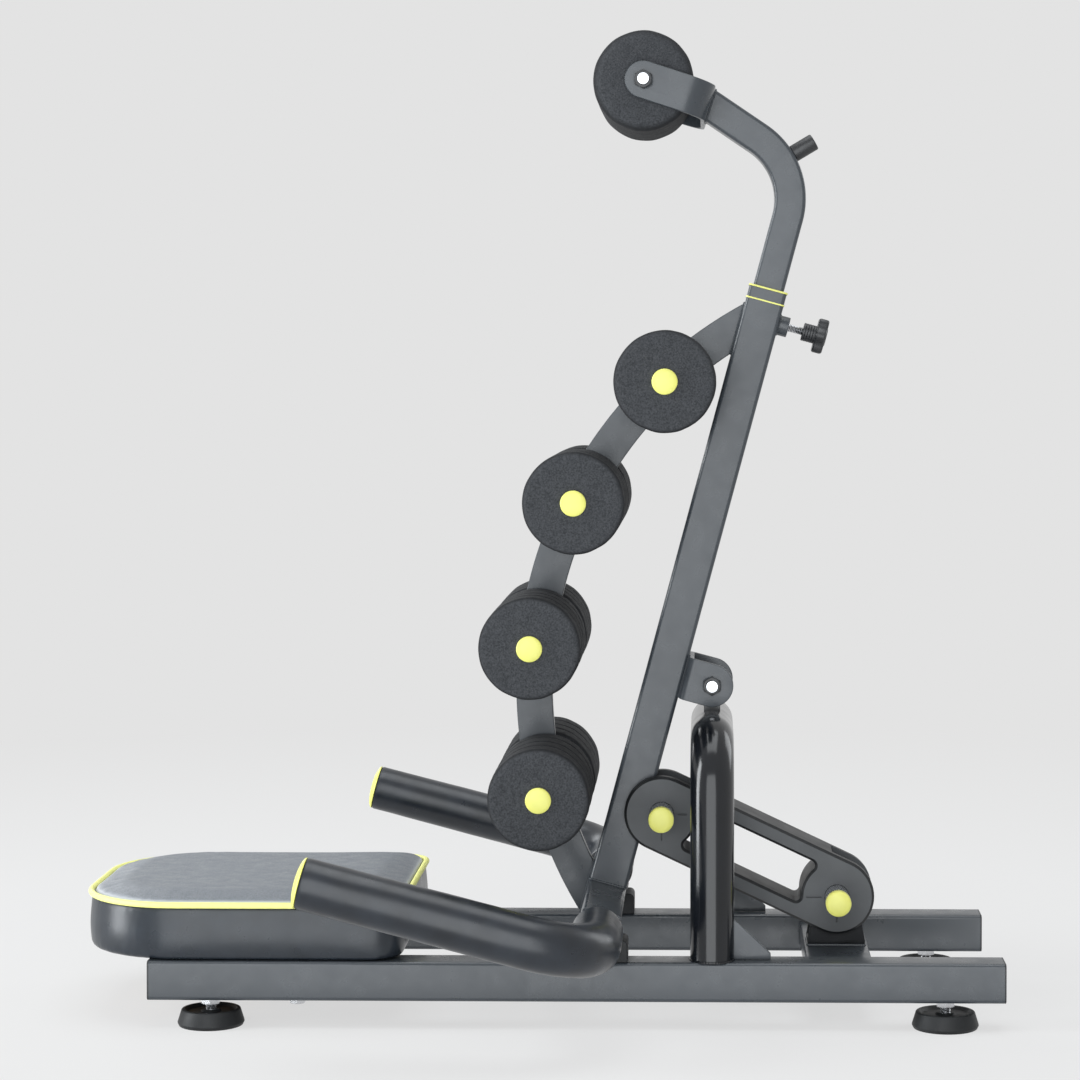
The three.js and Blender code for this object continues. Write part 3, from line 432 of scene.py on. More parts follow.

# %% [markdown]
# There are four kinds of black and grey rubber and plastic. The link is a hard moulded rubber. Its broad
# faces are painted a lighter grey, as painted light from the front, and its edges are painted blacker, as
# painted shade. The pads are blacker still, the plugs and knob are a satin plastic, and the grips are a
# smooth skinned foam that shines more than the rest.

# %% Rubbers and plastics
# painted light and shade: the broad faces take the lighter grey, the sides the near black
link_face_painted_light = (0.076, 0.080, 0.084)
link_side_painted_shade = (0.008, 0.009, 0.010)
link_painted_shade_cosines = (0.75, 0.95)
link_rubber = skinned(
    "link_rubber", link_face_painted_light, roughness=0.5, specular=0.35,
    tint=(18, 6, 0.88, 1.1), gloss=(40, 0.45, 0.55), grain=(1500, 3, 0.08, 0.5),
)
# the link's sides are painted darker here, as painted shade
paint_light_by_facing(link_rubber, "Y", *link_painted_shade_cosines, link_side_painted_shade)

rubber_black = (0.010, 0.011, 0.012)
pad_rubber = skinned(
    "black_rubber", rubber_black, roughness=0.55, specular=0.3,
    tint=(40, 5, 0.8, 1.4), gloss=(80, 0.45, 0.62), grain=(1800, 3, 0.08, 0.6),
)

plastic_black = (0.016, 0.017, 0.019)
satin_plastic = skinned(
    "black_plastic", plastic_black, roughness=0.38, specular=0.5,
    tint=(50, 3, 0.85, 1.3), gloss=(120, 0.32, 0.45), grain=(2500, 2, 0.06, 0.6),
)

grip_black = (0.010, 0.013, 0.018)
grip_skin = skinned(
    "grip_foam_skin", grip_black, roughness=0.3, specular=0.5,
    tint=(35, 4, 0.8, 1.5), gloss=(60, 0.27, 0.37), grain=(1400, 3, 0.06, 0.5),
)
finishes["link_rubber"] = link_rubber
finishes["black_rubber"] = pad_rubber
finishes["black_plastic"] = satin_plastic
finishes["grip_foam"] = grip_skin
print("rubbers and plastics:", 4)

# %% [markdown]
# The rollers are cut from closed-cell foam. Its cut cells make a dense speckle of charcoal and black that
# the eye reads before it reads any shine, so the colour follows the cells and the skin is nearly matt. The
# outside of each roller is painted darker than its cut ends, as painted shade on its rounded sides.

# %% Roller foam
foam_dark = (0.022, 0.024, 0.027)
foam_light = (0.058, 0.061, 0.067)
# painted shade: the rounded outside of each roller is darker than its cut ends
foam_painted_shade = (0.014, 0.015, 0.017)
foam_painted_shade_cosines = (0.6, 0.97)
foam = finish("roller_foam", foam_dark, 0.85, 0.0, 0.3)
foam_grain = noise_texture(foam, 620, 5)
uneven_colour(foam, foam_grain, foam_dark, foam_light)
# the roller's outside is painted darker here, as painted shade
paint_light_by_facing(foam, "Y", *foam_painted_shade_cosines, foam_painted_shade)
uneven_gloss(foam, noise_texture(foam, 200), 0.75, 0.92)
foam_pores = relief(foam, pebbles(foam, 900), 0.3, 0.5)
relief(foam, foam_grain, 0.25, 0.5, foam_pores)
finishes["roller_foam"] = foam
print("roller foam ready")

# %% [markdown]
# The seat's cover is an embossed sheet. Its top panel has a fine matt grain, and the band round its sides is
# the same sheet pulled tight, so it is smoother and shines more. The top panel is painted a lighter grey than
# the band, as painted sheen, and where it rolls over its edge it is painted pale, as a painted highlight. The
# board under it is plain plywood.

# %% Seat cover and board
# painted sheen: the top panel's grey is lighter than the band of the same sheet; its rolled edge is a painted
# highlight
top_panel_painted_sheen_grey = (0.165, 0.180, 0.200)
cover_painted_highlight = (0.46, 0.48, 0.52)
cover_painted_highlight_cosines = (0.8, 0.97)
top_panel = finish("seat_top_cover", top_panel_painted_sheen_grey, 0.5, 0.0, 0.5)
cover_grain = noise_texture(top_panel, 700, 4)
uneven_colour(top_panel, cover_grain, shade(top_panel_painted_sheen_grey, 0.72), shade(top_panel_painted_sheen_grey, 1.3))
# the rolled edge of the top panel is painted pale here, as a painted highlight
paint_light_by_facing(top_panel, "Z", *cover_painted_highlight_cosines, cover_painted_highlight)
uneven_gloss(top_panel, noise_texture(top_panel, 90), 0.42, 0.58)
cover_folds = relief(top_panel, pebbles(top_panel, 900), 0.25, 0.5)
relief(top_panel, noise_texture(top_panel, 1600, 3), 0.1, 0.5, cover_folds)

band_grey = (0.019, 0.024, 0.031)
side_band = skinned(
    "seat_side_cover", band_grey, roughness=0.3, specular=0.44,
    tint=(60, 5, 0.85, 1.15), gloss=(40, 0.26, 0.34), grain=(300, 2, 0.05, 0.3),
)
finishes["seat_cover"] = side_band

plywood = (0.36, 0.25, 0.15)
board = finish("plywood_board", plywood, 0.7, 0.0, 0.3)
wood_lines = noise_texture(board, 30, 6, (1, 9, 9))
uneven_colour(board, wood_lines, shade(plywood, 0.7), shade(plywood, 1.2))
relief(board, wood_lines, 0.2, 0.5)
finishes["board_wood"] = board
print("finishes:", len(finishes))

# %% [markdown]
# Most of the bench is turned, bent or cut. So a few shop tools are enough: round off a line of corners, turn
# a profile, carry a section along a path, and cut a plate with eased edges.

# %% Shop tools: outlines
def rounded(corners, closed=True, steps=6):
    """The points of a line of corners, each given as (x, y, radius)."""
    points = []
    count = len(corners)
    for i, (x, y, radius) in enumerate(corners):
        here = Vector((x, y))
        if radius <= 0 or (not closed and i in (0, count - 1)):
            points.append(here)
            continue
        before = (Vector(corners[i - 1][:2]) - here).normalized()
        after = (Vector(corners[(i + 1) % count][:2]) - here).normalized()
        half = before.angle(after) / 2
        middle = here + (before + after).normalized() * radius / math.sin(half)
        start = here + before * radius / math.tan(half) - middle
        end = here + after * radius / math.tan(half) - middle
        turn = start.angle(end) * (1 if start.x * end.y - start.y * end.x > 0 else -1)
        for step in range(steps + 1):
            angle = turn * step / steps
            cos, sin = math.cos(angle), math.sin(angle)
            points.append(middle + Vector((start.x * cos - start.y * sin, start.x * sin + start.y * cos)))
    return points


def arc(x, y, radius, start, end, steps):
    """Points on an arc, from one angle to another, in degrees."""
    angles = [math.radians(start + (end - start) * i / steps) for i in range(steps + 1)]
    return [Vector((x + radius * math.cos(a), y + radius * math.sin(a))) for a in angles]


def circle(radius, sides, x=0.0, y=0.0):
    return arc(x, y, radius, 0, 360, sides)[:-1]


def rounded_box(width, height, radius, steps=6):
    x, y = width / 2, height / 2
    return rounded([(x, -y, radius), (x, y, radius), (-x, y, radius), (-x, -y, radius)], True, steps)


print("outline of a rounded square:", len(rounded_box(1, 1, 0.1)), "points")

# %% [markdown]
# A turned piece is its half profile carried round an axis, a bent tube is its section carried along a path,
# and a loft joins a few rings. All three lay faces between rings of points. Modifiers could do the same, but
# built this way every piece has just the points that it needs.

# %% Shop tools: turning, sweeping and lofting
crease = math.radians(32)
on_axis = 1e-7  # a radius below this is a point on the axis


def mesh_from(bm, name):
    """Closes a bmesh into a mesh that is smooth except over sharp edges."""
    bmesh.ops.recalc_face_normals(bm, faces=bm.faces)
    mesh = bpy.data.meshes.new(name)
    bm.to_mesh(mesh)
    bm.free()
    soften(mesh)
    return mesh


def soften(mesh, angle=crease):
    mesh.shade_smooth()
    mesh.set_sharp_from_angle(angle=angle)


def skin(bm, rings, closed):
    """Faces between rings of vertices. A ring of one vertex is a pole."""
    following = rings[1:] + ([rings[0]] if closed else [])
    for a, b in zip(rings, following):
        sides_here = max(len(a), len(b))
        for k in range(sides_here):
            n = (k + 1) % sides_here
            corners = [a[k % len(a)], a[n % len(a)], b[n % len(b)], b[k % len(b)]]
            face = list(dict.fromkeys(corners))
            if len(face) > 2:
                bm.faces.new(face)


def turned(name, profile, sides_round=64):
    """A turned piece about its z axis. The profile runs axis to axis, or closes on itself."""
    bm = bmesh.new()
    rings = []
    for radius, height in profile:
        if radius < on_axis:
            rings.append([bm.verts.new((0, 0, height))])
        else:
            rings.append([bm.verts.new((p.x, p.y, height)) for p in circle(radius, sides_round)])
    skin(bm, rings, profile[0][0] > on_axis and profile[-1][0] > on_axis)
    return mesh_from(bm, name)


def bent_path(corners, bend, steps):
    """Places and headings along a line of corners, each bent to one radius."""
    last = len(corners) - 1
    path = [(corners[0], (corners[1] - corners[0]).normalized())]
    for i in range(1, last):
        before = (corners[i] - corners[i - 1]).normalized()
        after = (corners[i + 1] - corners[i]).normalized()
        turn = before.angle(after)
        inward = (after - before * before.dot(after)).normalized()
        start = corners[i] - before * bend * math.tan(turn / 2)
        middle = start + inward * bend
        for step in range(steps + 1):
            cos, sin = math.cos(turn * step / steps), math.sin(turn * step / steps)
            path.append((middle - inward * bend * cos + before * bend * sin, before * cos + inward * sin))
    path.append((corners[last], (corners[last] - corners[last - 1]).normalized()))
    return path


def loop_path(points):
    """Places and headings round a closed line of points."""
    count = len(points)
    return [(p, (points[(i + 1) % count] - points[i - 1]).normalized()) for i, p in enumerate(points)]


def ring_at(bm, place, heading, flat, section):
    side = flat.cross(heading).normalized()
    return [bm.verts.new(place + side * p[0] + flat * p[1]) for p in section]


def swept(name, path, flat, outer, inner=None, closed=False):
    """A section carried along a path in one plane, solid or with a hollow. A section may be a function."""
    bm = bmesh.new()
    section = outer if callable(outer) else lambda i: outer
    outside = [ring_at(bm, place, heading, flat, section(i)) for i, (place, heading) in enumerate(path)]
    if inner:
        inside = [ring_at(bm, place, heading, flat, inner) for place, heading in path]
        skin(bm, outside + inside[::-1], True)
    else:
        skin(bm, outside, closed)
        if not closed:
            bm.faces.new(outside[0])
            bm.faces.new(outside[-1])
    return mesh_from(bm, name)


def lofted(name, rings):
    """A solid through rings of as many points each, with a flat face at each end."""
    bm = bmesh.new()
    made = [[bm.verts.new(p) for p in ring] for ring in rings]
    skin(bm, made, False)
    bm.faces.new(made[0])
    bm.faces.new(made[-1])
    return mesh_from(bm, name)


def box_tube(name, path, flat, width, height, corner, wall):
    """A rolled tube of a rounded rectangular section, carried along a path."""
    hollow = rounded_box(width - 2 * wall, height - 2 * wall, corner - wall)
    return swept(name, path, flat, rounded_box(width, height, corner), hollow)


def rod(name, radius, low, high, sides_round=48):
    """A plain round rod along its z axis."""
    return turned(name, [(0, low), (radius, low), (radius, high), (0, high)], sides_round)


def dome(radius, top, rise, steps):
    """The profile of a dome, from its crown on the axis to its rim."""
    turns = [math.pi / 2 * step / steps for step in range(steps + 1)]
    return [(radius * math.sin(turn), top - rise * (1 - math.cos(turn))) for turn in turns]


print("turning, sweeping and lofting ready")

# %% [markdown]
# Sheet and block pieces come from filled curves, because a curve's bevel eases every edge at once, those of
# the holes too. Where one shape is taken out of another, the exact boolean is quick enough for so few cuts.

# %% Shop tools: plates and cuts
doubled_within = 0.001 * mm


def evaluated(piece):
    """The mesh that an object's curve or modifiers make of it. The object itself goes."""
    bpy.context.view_layer.update()
    mesh = bpy.data.meshes.new_from_object(piece.evaluated_get(bpy.context.evaluated_depsgraph_get()))
    bpy.data.objects.remove(piece)
    return mesh


def modified(mesh, kind, **settings):
    """A mesh after one modifier."""
    piece = in_scene("modified", mesh)
    modifier = piece.modifiers.new("step", kind)
    for key, value in settings.items():
        setattr(modifier, key, value)
    result = evaluated(piece)
    bpy.data.meshes.remove(mesh)
    return result


def cut(mesh, cutter):
    """One mesh with another taken away from it."""
    name = mesh.name
    tool = in_scene("cutter", cutter)
    result = modified(mesh, "BOOLEAN", object=tool, operation="DIFFERENCE", solver="EXACT")
    bpy.data.objects.remove(tool)
    bpy.data.meshes.remove(cutter)
    result.name = name
    soften(result)
    return result


def joined(meshes, name):
    """Several meshes as one, each still a shell of its own."""
    bm = bmesh.new()
    for mesh in meshes:
        bm.from_mesh(mesh)
        bpy.data.meshes.remove(mesh)
    return mesh_from(bm, name)


def plate(name, outline, holes, thickness, edge, edge_steps=2):
    """A flat plate with eased edges, drawn as a filled curve. It lies in its x-y plane."""
    curve = bpy.data.curves.new(name, "CURVE")
    curve.dimensions = "2D"
    curve.fill_mode = "BOTH"
    curve.extrude = thickness / 2 - edge
    curve.bevel_depth = edge
    curve.bevel_resolution = edge_steps
    curve.offset = -edge
    for line in [outline, *holes]:
        spline = curve.splines.new("POLY")
        spline.points.add(len(line) - 1)
        for point, place in zip(spline.points, line):
            point.co = (place[0], place[1], 0, 1)
        spline.use_cyclic_u = True
    mesh = evaluated(in_scene(name, curve))
    bpy.data.curves.remove(curve)
    bm = bmesh.new()
    bm.from_mesh(mesh)
    bpy.data.meshes.remove(mesh)
    bmesh.ops.remove_doubles(bm, verts=bm.verts, dist=doubled_within)
    return mesh_from(bm, name)


def block(low, high):
    """A plain cutting block between two corners."""
    bm = bmesh.new()
    made = bmesh.ops.create_cube(bm, size=1)
    for v in made["verts"]:
        v.co = Vector([low[i] + (high[i] - low[i]) * (v.co[i] + 0.5) for i in range(3)])
    return mesh_from(bm, "block")


def placed(mesh, place):
    """A mesh moved to a place, which is a frame, or a point when nothing has to turn."""
    mesh.transform(place if isinstance(place, Matrix) else Matrix.Translation(place))
    return mesh


def add_piece(name, mesh, slot, *nodes, body=None, look=None):
    """Puts a finished mesh in the scene: its finish, the nodes that it stands for, and its body."""
    piece = in_scene(name, mesh)
    mesh.materials.clear()
    mesh.materials.append(look or finishes[slot])
    if nodes:
        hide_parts(*nodes)
    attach(piece, body or body_of[nodes[0]])
    return piece


print("plates and cuts ready")

# %% [markdown]
# Two square tubes carry everything. Steel tube of this kind has rounded corners from its rolling, and those
# corners are what catches the light along the whole length of a rail. A plastic plug closes each end.

# %% Rails and their plugs
rail_corner = 4 * mm
rail_wall = 2 * mm
contact_gap = 0.3 * mm
plug_ease = 0.5 * mm
rail_low, rail_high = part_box("left_rail")
rail_size = rail_high.z - rail_low.z
rail_middle = (rail_low.z + rail_high.z) / 2
rail_y = centre("right_rail").y


def end_plug(node, middle_y, rail_end, way):
    """A plug with a stem in the tube, a flange on its end and an eased face."""
    low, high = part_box(node)
    outside, inside = (low.x, high.x) if way < 0 else (high.x, low.x)
    seat = rail_end + way * contact_gap
    stem = rail_size - 2 * (rail_wall + contact_gap)
    sections = [
        (inside, stem, rail_corner - rail_wall),
        (seat, stem, rail_corner - rail_wall),
        (seat, rail_size, rail_corner),
        (outside - way * plug_ease, rail_size, rail_corner),
        (outside, rail_size - 2 * plug_ease, rail_corner - plug_ease),
    ]
    return lofted(
        node,
        [
            [Vector((x, middle_y + p.x, rail_middle + p.y)) for p in rounded_box(size, size, corner)]
            for x, size, corner in sections
        ],
    )


for side, sign in sides.items():
    path = [(Vector((x, sign * rail_y, rail_middle)), X) for x in (rail_low.x, rail_high.x)]
    tube = box_tube(f"{side}_rail_tube", path, Z, rail_size, rail_size, rail_corner, rail_wall)
    add_piece(f"{side}_rail_tube", tube, "frame_paint", f"{side}_rail")
    for end, rail_end, way in (("front", rail_low.x, -1), ("rear", rail_high.x, 1)):
        node = f"{side}_{end}_rail_plug"
        plug = end_plug(node, sign * rail_y, rail_end, way)
        add_piece(f"{side}_{end}_end_plug", plug, "black_plastic", node)
print("rails are", round((rail_high.x - rail_low.x) / mm, 1), "mm long")

# %% [markdown]
# A levelling foot is a rubber pad with a dished top on a threaded stud, locked by a hexagon nut. A hexagon
# that is cut by a shallow cone has the curved chamfers that every nut shows at its corners.

# %% Nuts, bolts and threads
hex_points = 72
hex_steps = 4
hex_chamfer_share = 0.6  # of how far the corners stand out past the flats
hex_edge_share = 0.97  # of the flats, for the round edge of each end
thread_pitch = 1.5 * mm
thread_depth = 0.5 * mm
thread_points = 32


def hexagon(name, corner_radius, low, high, bore):
    """A hexagon bar end or nut between two heights, chamfered, with a bore of its own."""
    flat_radius = corner_radius * math.cos(math.pi / 6)
    chamfer = (corner_radius - flat_radius) * hex_chamfer_share
    edge = flat_radius * hex_edge_share

    def ring(limit, height):
        points = []
        for i in range(hex_points):
            angle = 2 * math.pi * i / hex_points
            within = (angle + math.pi / 6) % (math.pi / 3) - math.pi / 6
            radius = min(flat_radius / math.cos(within), limit)
            points.append(Vector((radius * math.cos(angle), radius * math.sin(angle), height)))
        return points

    shares = [step / hex_steps for step in range(hex_steps + 1)]
    limits = [(edge + (corner_radius - edge) * share, chamfer * share) for share in shares]
    rings = [ring(limit, low + height) for limit, height in limits]
    rings += [ring(limit, high - height) for limit, height in reversed(limits)]
    if not bore:
        return lofted(name, rings)
    rings += [[Vector((p.x, p.y, z)) for p in circle(bore, hex_points)] for z in (high, low)]
    bm = bmesh.new()
    skin(bm, [[bm.verts.new(p) for p in line] for line in rings], True)
    return mesh_from(bm, name)


def threaded(name, radius, low, high, plain_to):
    """A stud with a plain shank up to one height and thread rings from there to its end."""
    root = radius - thread_depth
    profile = [(0, low), (root, low), (radius, low + thread_depth), (radius, plain_to)]
    for i in range(int((high - plain_to - thread_depth) / thread_pitch)):
        ring_foot = plain_to + i * thread_pitch
        profile += [(root, ring_foot + thread_pitch / 2), (radius, ring_foot + thread_pitch)]
    profile += [(root, high), (0, high)]
    return turned(name, profile, thread_points)


print("thread pitch", thread_pitch / mm, "mm")

# %% [markdown]
# The pad is one turned profile: a flared side, a rounded rim, a dish, and a collar that hides where the stud
# goes in. The stud and its nut are one piece, because they turn together.

# %% Levelling feet
pad_top_share = 0.875  # of the pad's bottom radius
pad_ease = 1.6 * mm
pad_lip = 3 * mm
dish_depth = 3 * mm
pad_points = 72
stud_radius = 5 * mm
nut_radius = 9.5 * mm
nut_height = 6 * mm


def foot_pad(radius, height, stud_foot):
    """A pad with a dished top, and a low collar round the foot of its stud."""
    top = radius * pad_top_share
    small = pad_ease / 2
    dish = height - dish_depth
    collar = height - dish_depth / 3
    corners = [
        (0, 0, 0),
        (radius - pad_ease, 0, small),
        (radius, 2 * pad_ease, pad_ease),
        (top, height, pad_ease),
        (top - pad_lip, height, small),
        (top - pad_lip - dish_depth, dish, pad_ease),
        (stud_radius + 3 * pad_ease, dish, small),
        (stud_radius + 2 * pad_ease, collar, small),
        (stud_radius + contact_gap, collar, 0),
        (stud_radius + contact_gap, stud_foot, 0),
        (0, stud_foot, 0),
    ]
    return turned("pad", rounded(corners, False, 4), pad_points)


for side in sides:
    for end in ("front", "rear"):
        foot_name = f"{side}_{end}"
        pad_low, pad_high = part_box(f"{foot_name}_foot_pad")
        stud_low, stud_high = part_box(f"{foot_name}_foot_stud")
        middle = centre(f"{foot_name}_foot_pad")
        spot = (middle.x, middle.y, 0)
        radius = (pad_high.x - pad_low.x) / 2
        pad = placed(foot_pad(radius, pad_high.z, stud_low.z), spot)
        add_piece(f"{foot_name}_pad", pad, "black_rubber", f"{foot_name}_foot_pad")
        nut_top = rail_low.z - contact_gap
        stud = threaded("stud", stud_radius, stud_low.z, stud_high.z, stud_low.z + thread_depth)
        nut = hexagon("nut", nut_radius, nut_top - nut_height, nut_top, stud_radius - thread_depth)
        both = placed(joined([stud, nut], "stud_and_nut"), spot)
        add_piece(f"{foot_name}_stud", both, "bright_steel", f"{foot_name}_foot_stud")
print("foot radius", round(radius / mm, 1), "mm")

# %% [markdown]
# Two flat tubes join the rails. A weld holds each end, and a weld is a row of small overlapping puddles.
# A round section that swells and thins along its path gives that look, under the same paint as the tubes.

# %% Cross members and a welding tool
cross_wall = 2 * mm
cross_corner = 3 * mm
bead_radius = 1.3 * mm
bead_pitch = 2.6 * mm
bead_swell_share = 0.08
bead_sides = 8
rings_per_puddle = 6
fewest_rings = 24


def spread_along(points, per_metre, fewest):
    """Places at equal distances round a closed line of points, and the length of that line."""
    edges = list(zip(points, points[1:] + points[:1]))
    length = sum((b - a).length for a, b in edges)
    count = max(int(length * per_metre), fewest)
    spread = []
    edge = 0
    before = 0.0
    for k in range(count):
        distance = length * k / count
        a, b = edges[edge]
        while distance > before + (b - a).length:
            before += (b - a).length
            edge += 1
            a, b = edges[edge]
        spread.append(a + (b - a) * (distance - before) / (b - a).length)
    return spread, length


def weld(name, points, body, slot="frame_paint", radius=bead_radius):
    """A weld bead round a closed line of points that lies in one plane."""
    spread, length = spread_along(points, rings_per_puddle / bead_pitch, fewest_rings)
    middle = sum(points, Vector()) / len(points)
    flat = (points[0] - middle).cross(points[len(points) // 4] - middle).normalized()
    puddles = round(length / bead_pitch)

    def section(i):
        swell = 1 + bead_swell_share * math.sin(2 * math.pi * puddles * i / len(spread))
        return circle(radius * swell, bead_sides)

    return add_piece(name, swept(name, loop_path(spread), flat, section, None, True), slot, body=body)


for end in ("front", "rear"):
    node = f"{end}_cross_member"
    low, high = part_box(node)
    middle = centre(node)
    width, height = high.x - low.x, high.z - low.z
    path = [(Vector((middle.x, y, middle.z)), Y) for y in (low.y, high.y)]
    tube = box_tube(node, path, Z, width, height, cross_corner, cross_wall)
    add_piece(f"{end}_cross_tube", tube, "frame_paint", node)
    for side, sign in sides.items():
        y = sign * (rail_y - rail_size / 2)
        section = rounded_box(width, height, cross_corner)
        ring = [Vector((middle.x + p.x, y, middle.z + p.y)) for p in section]
        weld(f"{end}_cross_weld_{side}", ring, "base")
print("cross members:", 2)

# %% [markdown]
# The arch is one tube bent twice. It could be joined from straight and bent pieces, but one section carried
# along one path has no seams where the bends begin. Its feet are welded to the rails, with a gusset behind
# each leg. On its crossbar a bushing on a web holds the bolt that the whole post rocks on.

# %% Arch, gussets and lug
arch_bend = 55 * mm
arch_wall = 2 * mm
arch_points = 64
gusset_height = 39 * mm
gusset_toe = 6 * mm
gusset_ease = 2 * mm
gusset_thickness = 4 * mm
plate_edge = 0.7 * mm
lug_web = 16 * mm
lug_bore = 6.3 * mm
lug_ease = 0.8 * mm
web_sink_share = 0.9  # of the crossbar's radius, where the web meets its round top
pivot = Vector(joints["lever_tilt"]["pos_m"])
arch_low, arch_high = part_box("arch_tube")
arch_radius = pivot.x - arch_low.x
leg_y = arch_high.y - arch_radius
crossbar_z = arch_high.z - arch_radius
corners = [(-leg_y, arch_low.z), (-leg_y, crossbar_z), (leg_y, crossbar_z), (leg_y, arch_low.z)]
path = bent_path([Vector((pivot.x, y, z)) for y, z in corners], arch_bend, 24)
hollow = circle(arch_radius - arch_wall, arch_points)
arch = swept("arch", path, X, circle(arch_radius, arch_points), hollow)
add_piece("arch_bent_tube", arch, "arch_paint", "arch_tube")
heel = arch_radius - arch_wall / 2
toe = arch_high.x - pivot.x
gusset_corners = [(heel, 0, 0), (toe, 0, 0), (toe, gusset_toe, gusset_ease), (heel, gusset_height, 0)]
gusset_line = rounded(gusset_corners, True, 4)
for side, sign in sides.items():
    leg_foot = Vector((pivot.x, sign * leg_y, arch_low.z))
    gusset = plate("gusset", gusset_line, [], gusset_thickness, plate_edge)
    gusset = placed(gusset, basis(X, Z, leg_foot))
    add_piece(f"arch_gusset_{side}", gusset, "arch_paint", body="base", look=paint)
    ring = [leg_foot + X * p.x + Y * p.y for p in circle(arch_radius, 48)]
    weld(f"arch_foot_weld_{side}", ring, "base", "arch_paint")

lug_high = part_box("arch_lug")[1]
lug_radius = lug_high.x - pivot.x
lug_half = lug_high.y
bushing = rounded(
    [
        (lug_bore, -lug_half, lug_ease / 2),
        (lug_radius, -lug_half, lug_ease),
        (lug_radius, lug_half, lug_ease),
        (lug_bore, lug_half, lug_ease / 2),
    ]
)
bushing = placed(turned("bushing", bushing, 64), along(Y, pivot))
web_top = pivot.z - (lug_radius + lug_bore) / 2
web_foot = crossbar_z + arch_radius * web_sink_share
web_line = [(p.x, p.y + (web_top + web_foot) / 2) for p in rounded_box(lug_web, web_top - web_foot, 0)]
web = plate("web", web_line, [], 2 * (lug_half - lug_ease), plate_edge)
web = placed(web, basis(X, Z, Vector((pivot.x, 0, 0))))
add_piece("arch_pivot_lug", joined([bushing, web], "lug"), "arch_paint", "arch_lug")
print("arch stands", round(arch_high.z / mm, 1), "mm high")

# %% [markdown]
# At rest the post's foot lies in two moulded rubber blocks, one on each rail. A block could be a box with
# the housing cut out of it. Here its side view is drawn along the housing's underside and back, which lean
# with the post, and made into a thick plate, because a plate keeps the eased edges of a moulding.

# %% Stop blocks
block_edge = 1 * mm
block_round = 5 * mm
half_post = reach("handle_housing", back, foot)[1]
cradle = half_post + contact_gap


def on_lever(distance_back, distance_up, y=0.0):
    return foot + back * distance_back + up * distance_up + Y * y


cradle_front = on_lever(-half_post, -cradle)
cradle_corner = on_lever(cradle, -cradle)
for side in sides:
    node = f"{side}_stop_block"
    low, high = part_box(node)
    back_x = cradle_corner.x + (high.z - cradle_corner.z) * up.x / up.z
    line = rounded(
        [
            (low.x, low.z, block_edge),
            (high.x, low.z, block_edge),
            (high.x, high.z, block_round),
            (back_x, high.z, block_edge),
            (cradle_corner.x, cradle_corner.z, 0),
            (cradle_front.x, cradle_front.z, 0),
        ]
    )
    stop = plate(node, line, [], high.y - low.y, block_edge)
    stop = placed(stop, basis(X, Z, Vector((0, centre(node).y, 0))))
    add_piece(f"{side}_rubber_stop", stop, "black_rubber", node)
print("stop blocks:", len(sides))

# %% [markdown]
# The post is the same rolled tube as the rails, standing on a square housing that lies across it. Both lean,
# so they are drawn upright in the lever's own frame and turned into place, which keeps their outlines plain.

# %% Post and handle housing
post_wall = 1.5 * mm
tube_corner = 4 * mm
handle_radius = 16 * mm
post_low, post_top = reach("post_tube", up, foot)
post_size = 2 * half_post
post_outline = rounded_box(post_size, post_size, tube_corner)
path = [(on_lever(0, post_low), up), (on_lever(0, post_top), up)]
post = box_tube("post", path, Y, post_size, post_size, tube_corner, post_wall)
add_piece("post_square_tube", post, "frame_paint", "post_tube")
housing_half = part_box("handle_housing")[1].y
way_through = circle(handle_radius + contact_gap, 64)
housing = plate("housing", post_outline, [way_through], 2 * housing_half, plate_edge)
add_piece("handle_cross_housing", placed(housing, lever_side), "frame_paint", "handle_housing")
weld("post_foot_weld", [on_lever(p.x, post_low, p.y) for p in post_outline], "lever")
print("post is", round((post_top - post_low) / mm, 1), "mm long")

# %% [markdown]
# One tube makes both handles. It runs through the housing and turns forward at each side, in a plane that
# rises towards the sitter. A sleeve of skinned foam covers each arm and its bend, and thins towards the tip,
# where a domed yellow cap closes the tube.

# %% Handles, grips and caps
handle_rise = math.radians(14.6)
handle_bend = 62 * mm
handle_wall = 2 * mm
handle_points = 48
grip_tip_radius = 23.5 * mm
grip_thick_radius = 24.5 * mm
grip_end_gap = 8 * mm
grip_ease = 2 * mm
grip_ease_shares = (0.3, 1)  # where its rounded rims get rings
grip_step = 6 * mm
grip_points = 56
grip_noise_size = 24 * mm
grip_noise_depth = 0.25 * mm
cap_dome = 6 * mm
cap_stem = 20 * mm
straight_enough = 0.9999  # the cosine between two headings
arm = Vector((-math.cos(handle_rise), 0, math.sin(handle_rise)))
handle_plane = Vector((math.sin(handle_rise), 0, math.cos(handle_rise)))
arm_length = reach("handle_tube", arm, foot)[1]
handle_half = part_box("handle_tube")[1].y - handle_radius
tips = {side: foot + arm * arm_length + Y * sign * handle_half for side, sign in sides.items()}
bends = {side: foot + Y * sign * handle_half for side, sign in sides.items()}
path = bent_path([tips["left"], bends["left"], bends["right"], tips["right"]], handle_bend, 24)
inner = circle(handle_radius - handle_wall, handle_points)
tube = swept("handle", path, handle_plane, circle(handle_radius, handle_points), inner)
add_piece("handle_bent_tube", tube, "bright_steel", "handle_tube")


def stepped(path, step):
    """A path with more places on its straight stretches, about one step apart."""
    full = []
    for (a, heading), (b, following) in zip(path, path[1:]):
        full.append((a, heading))
        pieces = int((b - a).length / step)
        if pieces > 1 and heading.dot(following) > straight_enough:
            full += [(a + (b - a) * k / pieces, heading) for k in range(1, pieces)]
    return full + [path[-1]]


def unevenness(mesh, size, depth):
    """Pushes each vertex in or out by smooth noise, as a hand-cut or moulded soft part has."""
    moves = [v.normal * noise.noise(v.co / size) * depth for v in mesh.vertices]
    for v, move in zip(mesh.vertices, moves):
        v.co += move


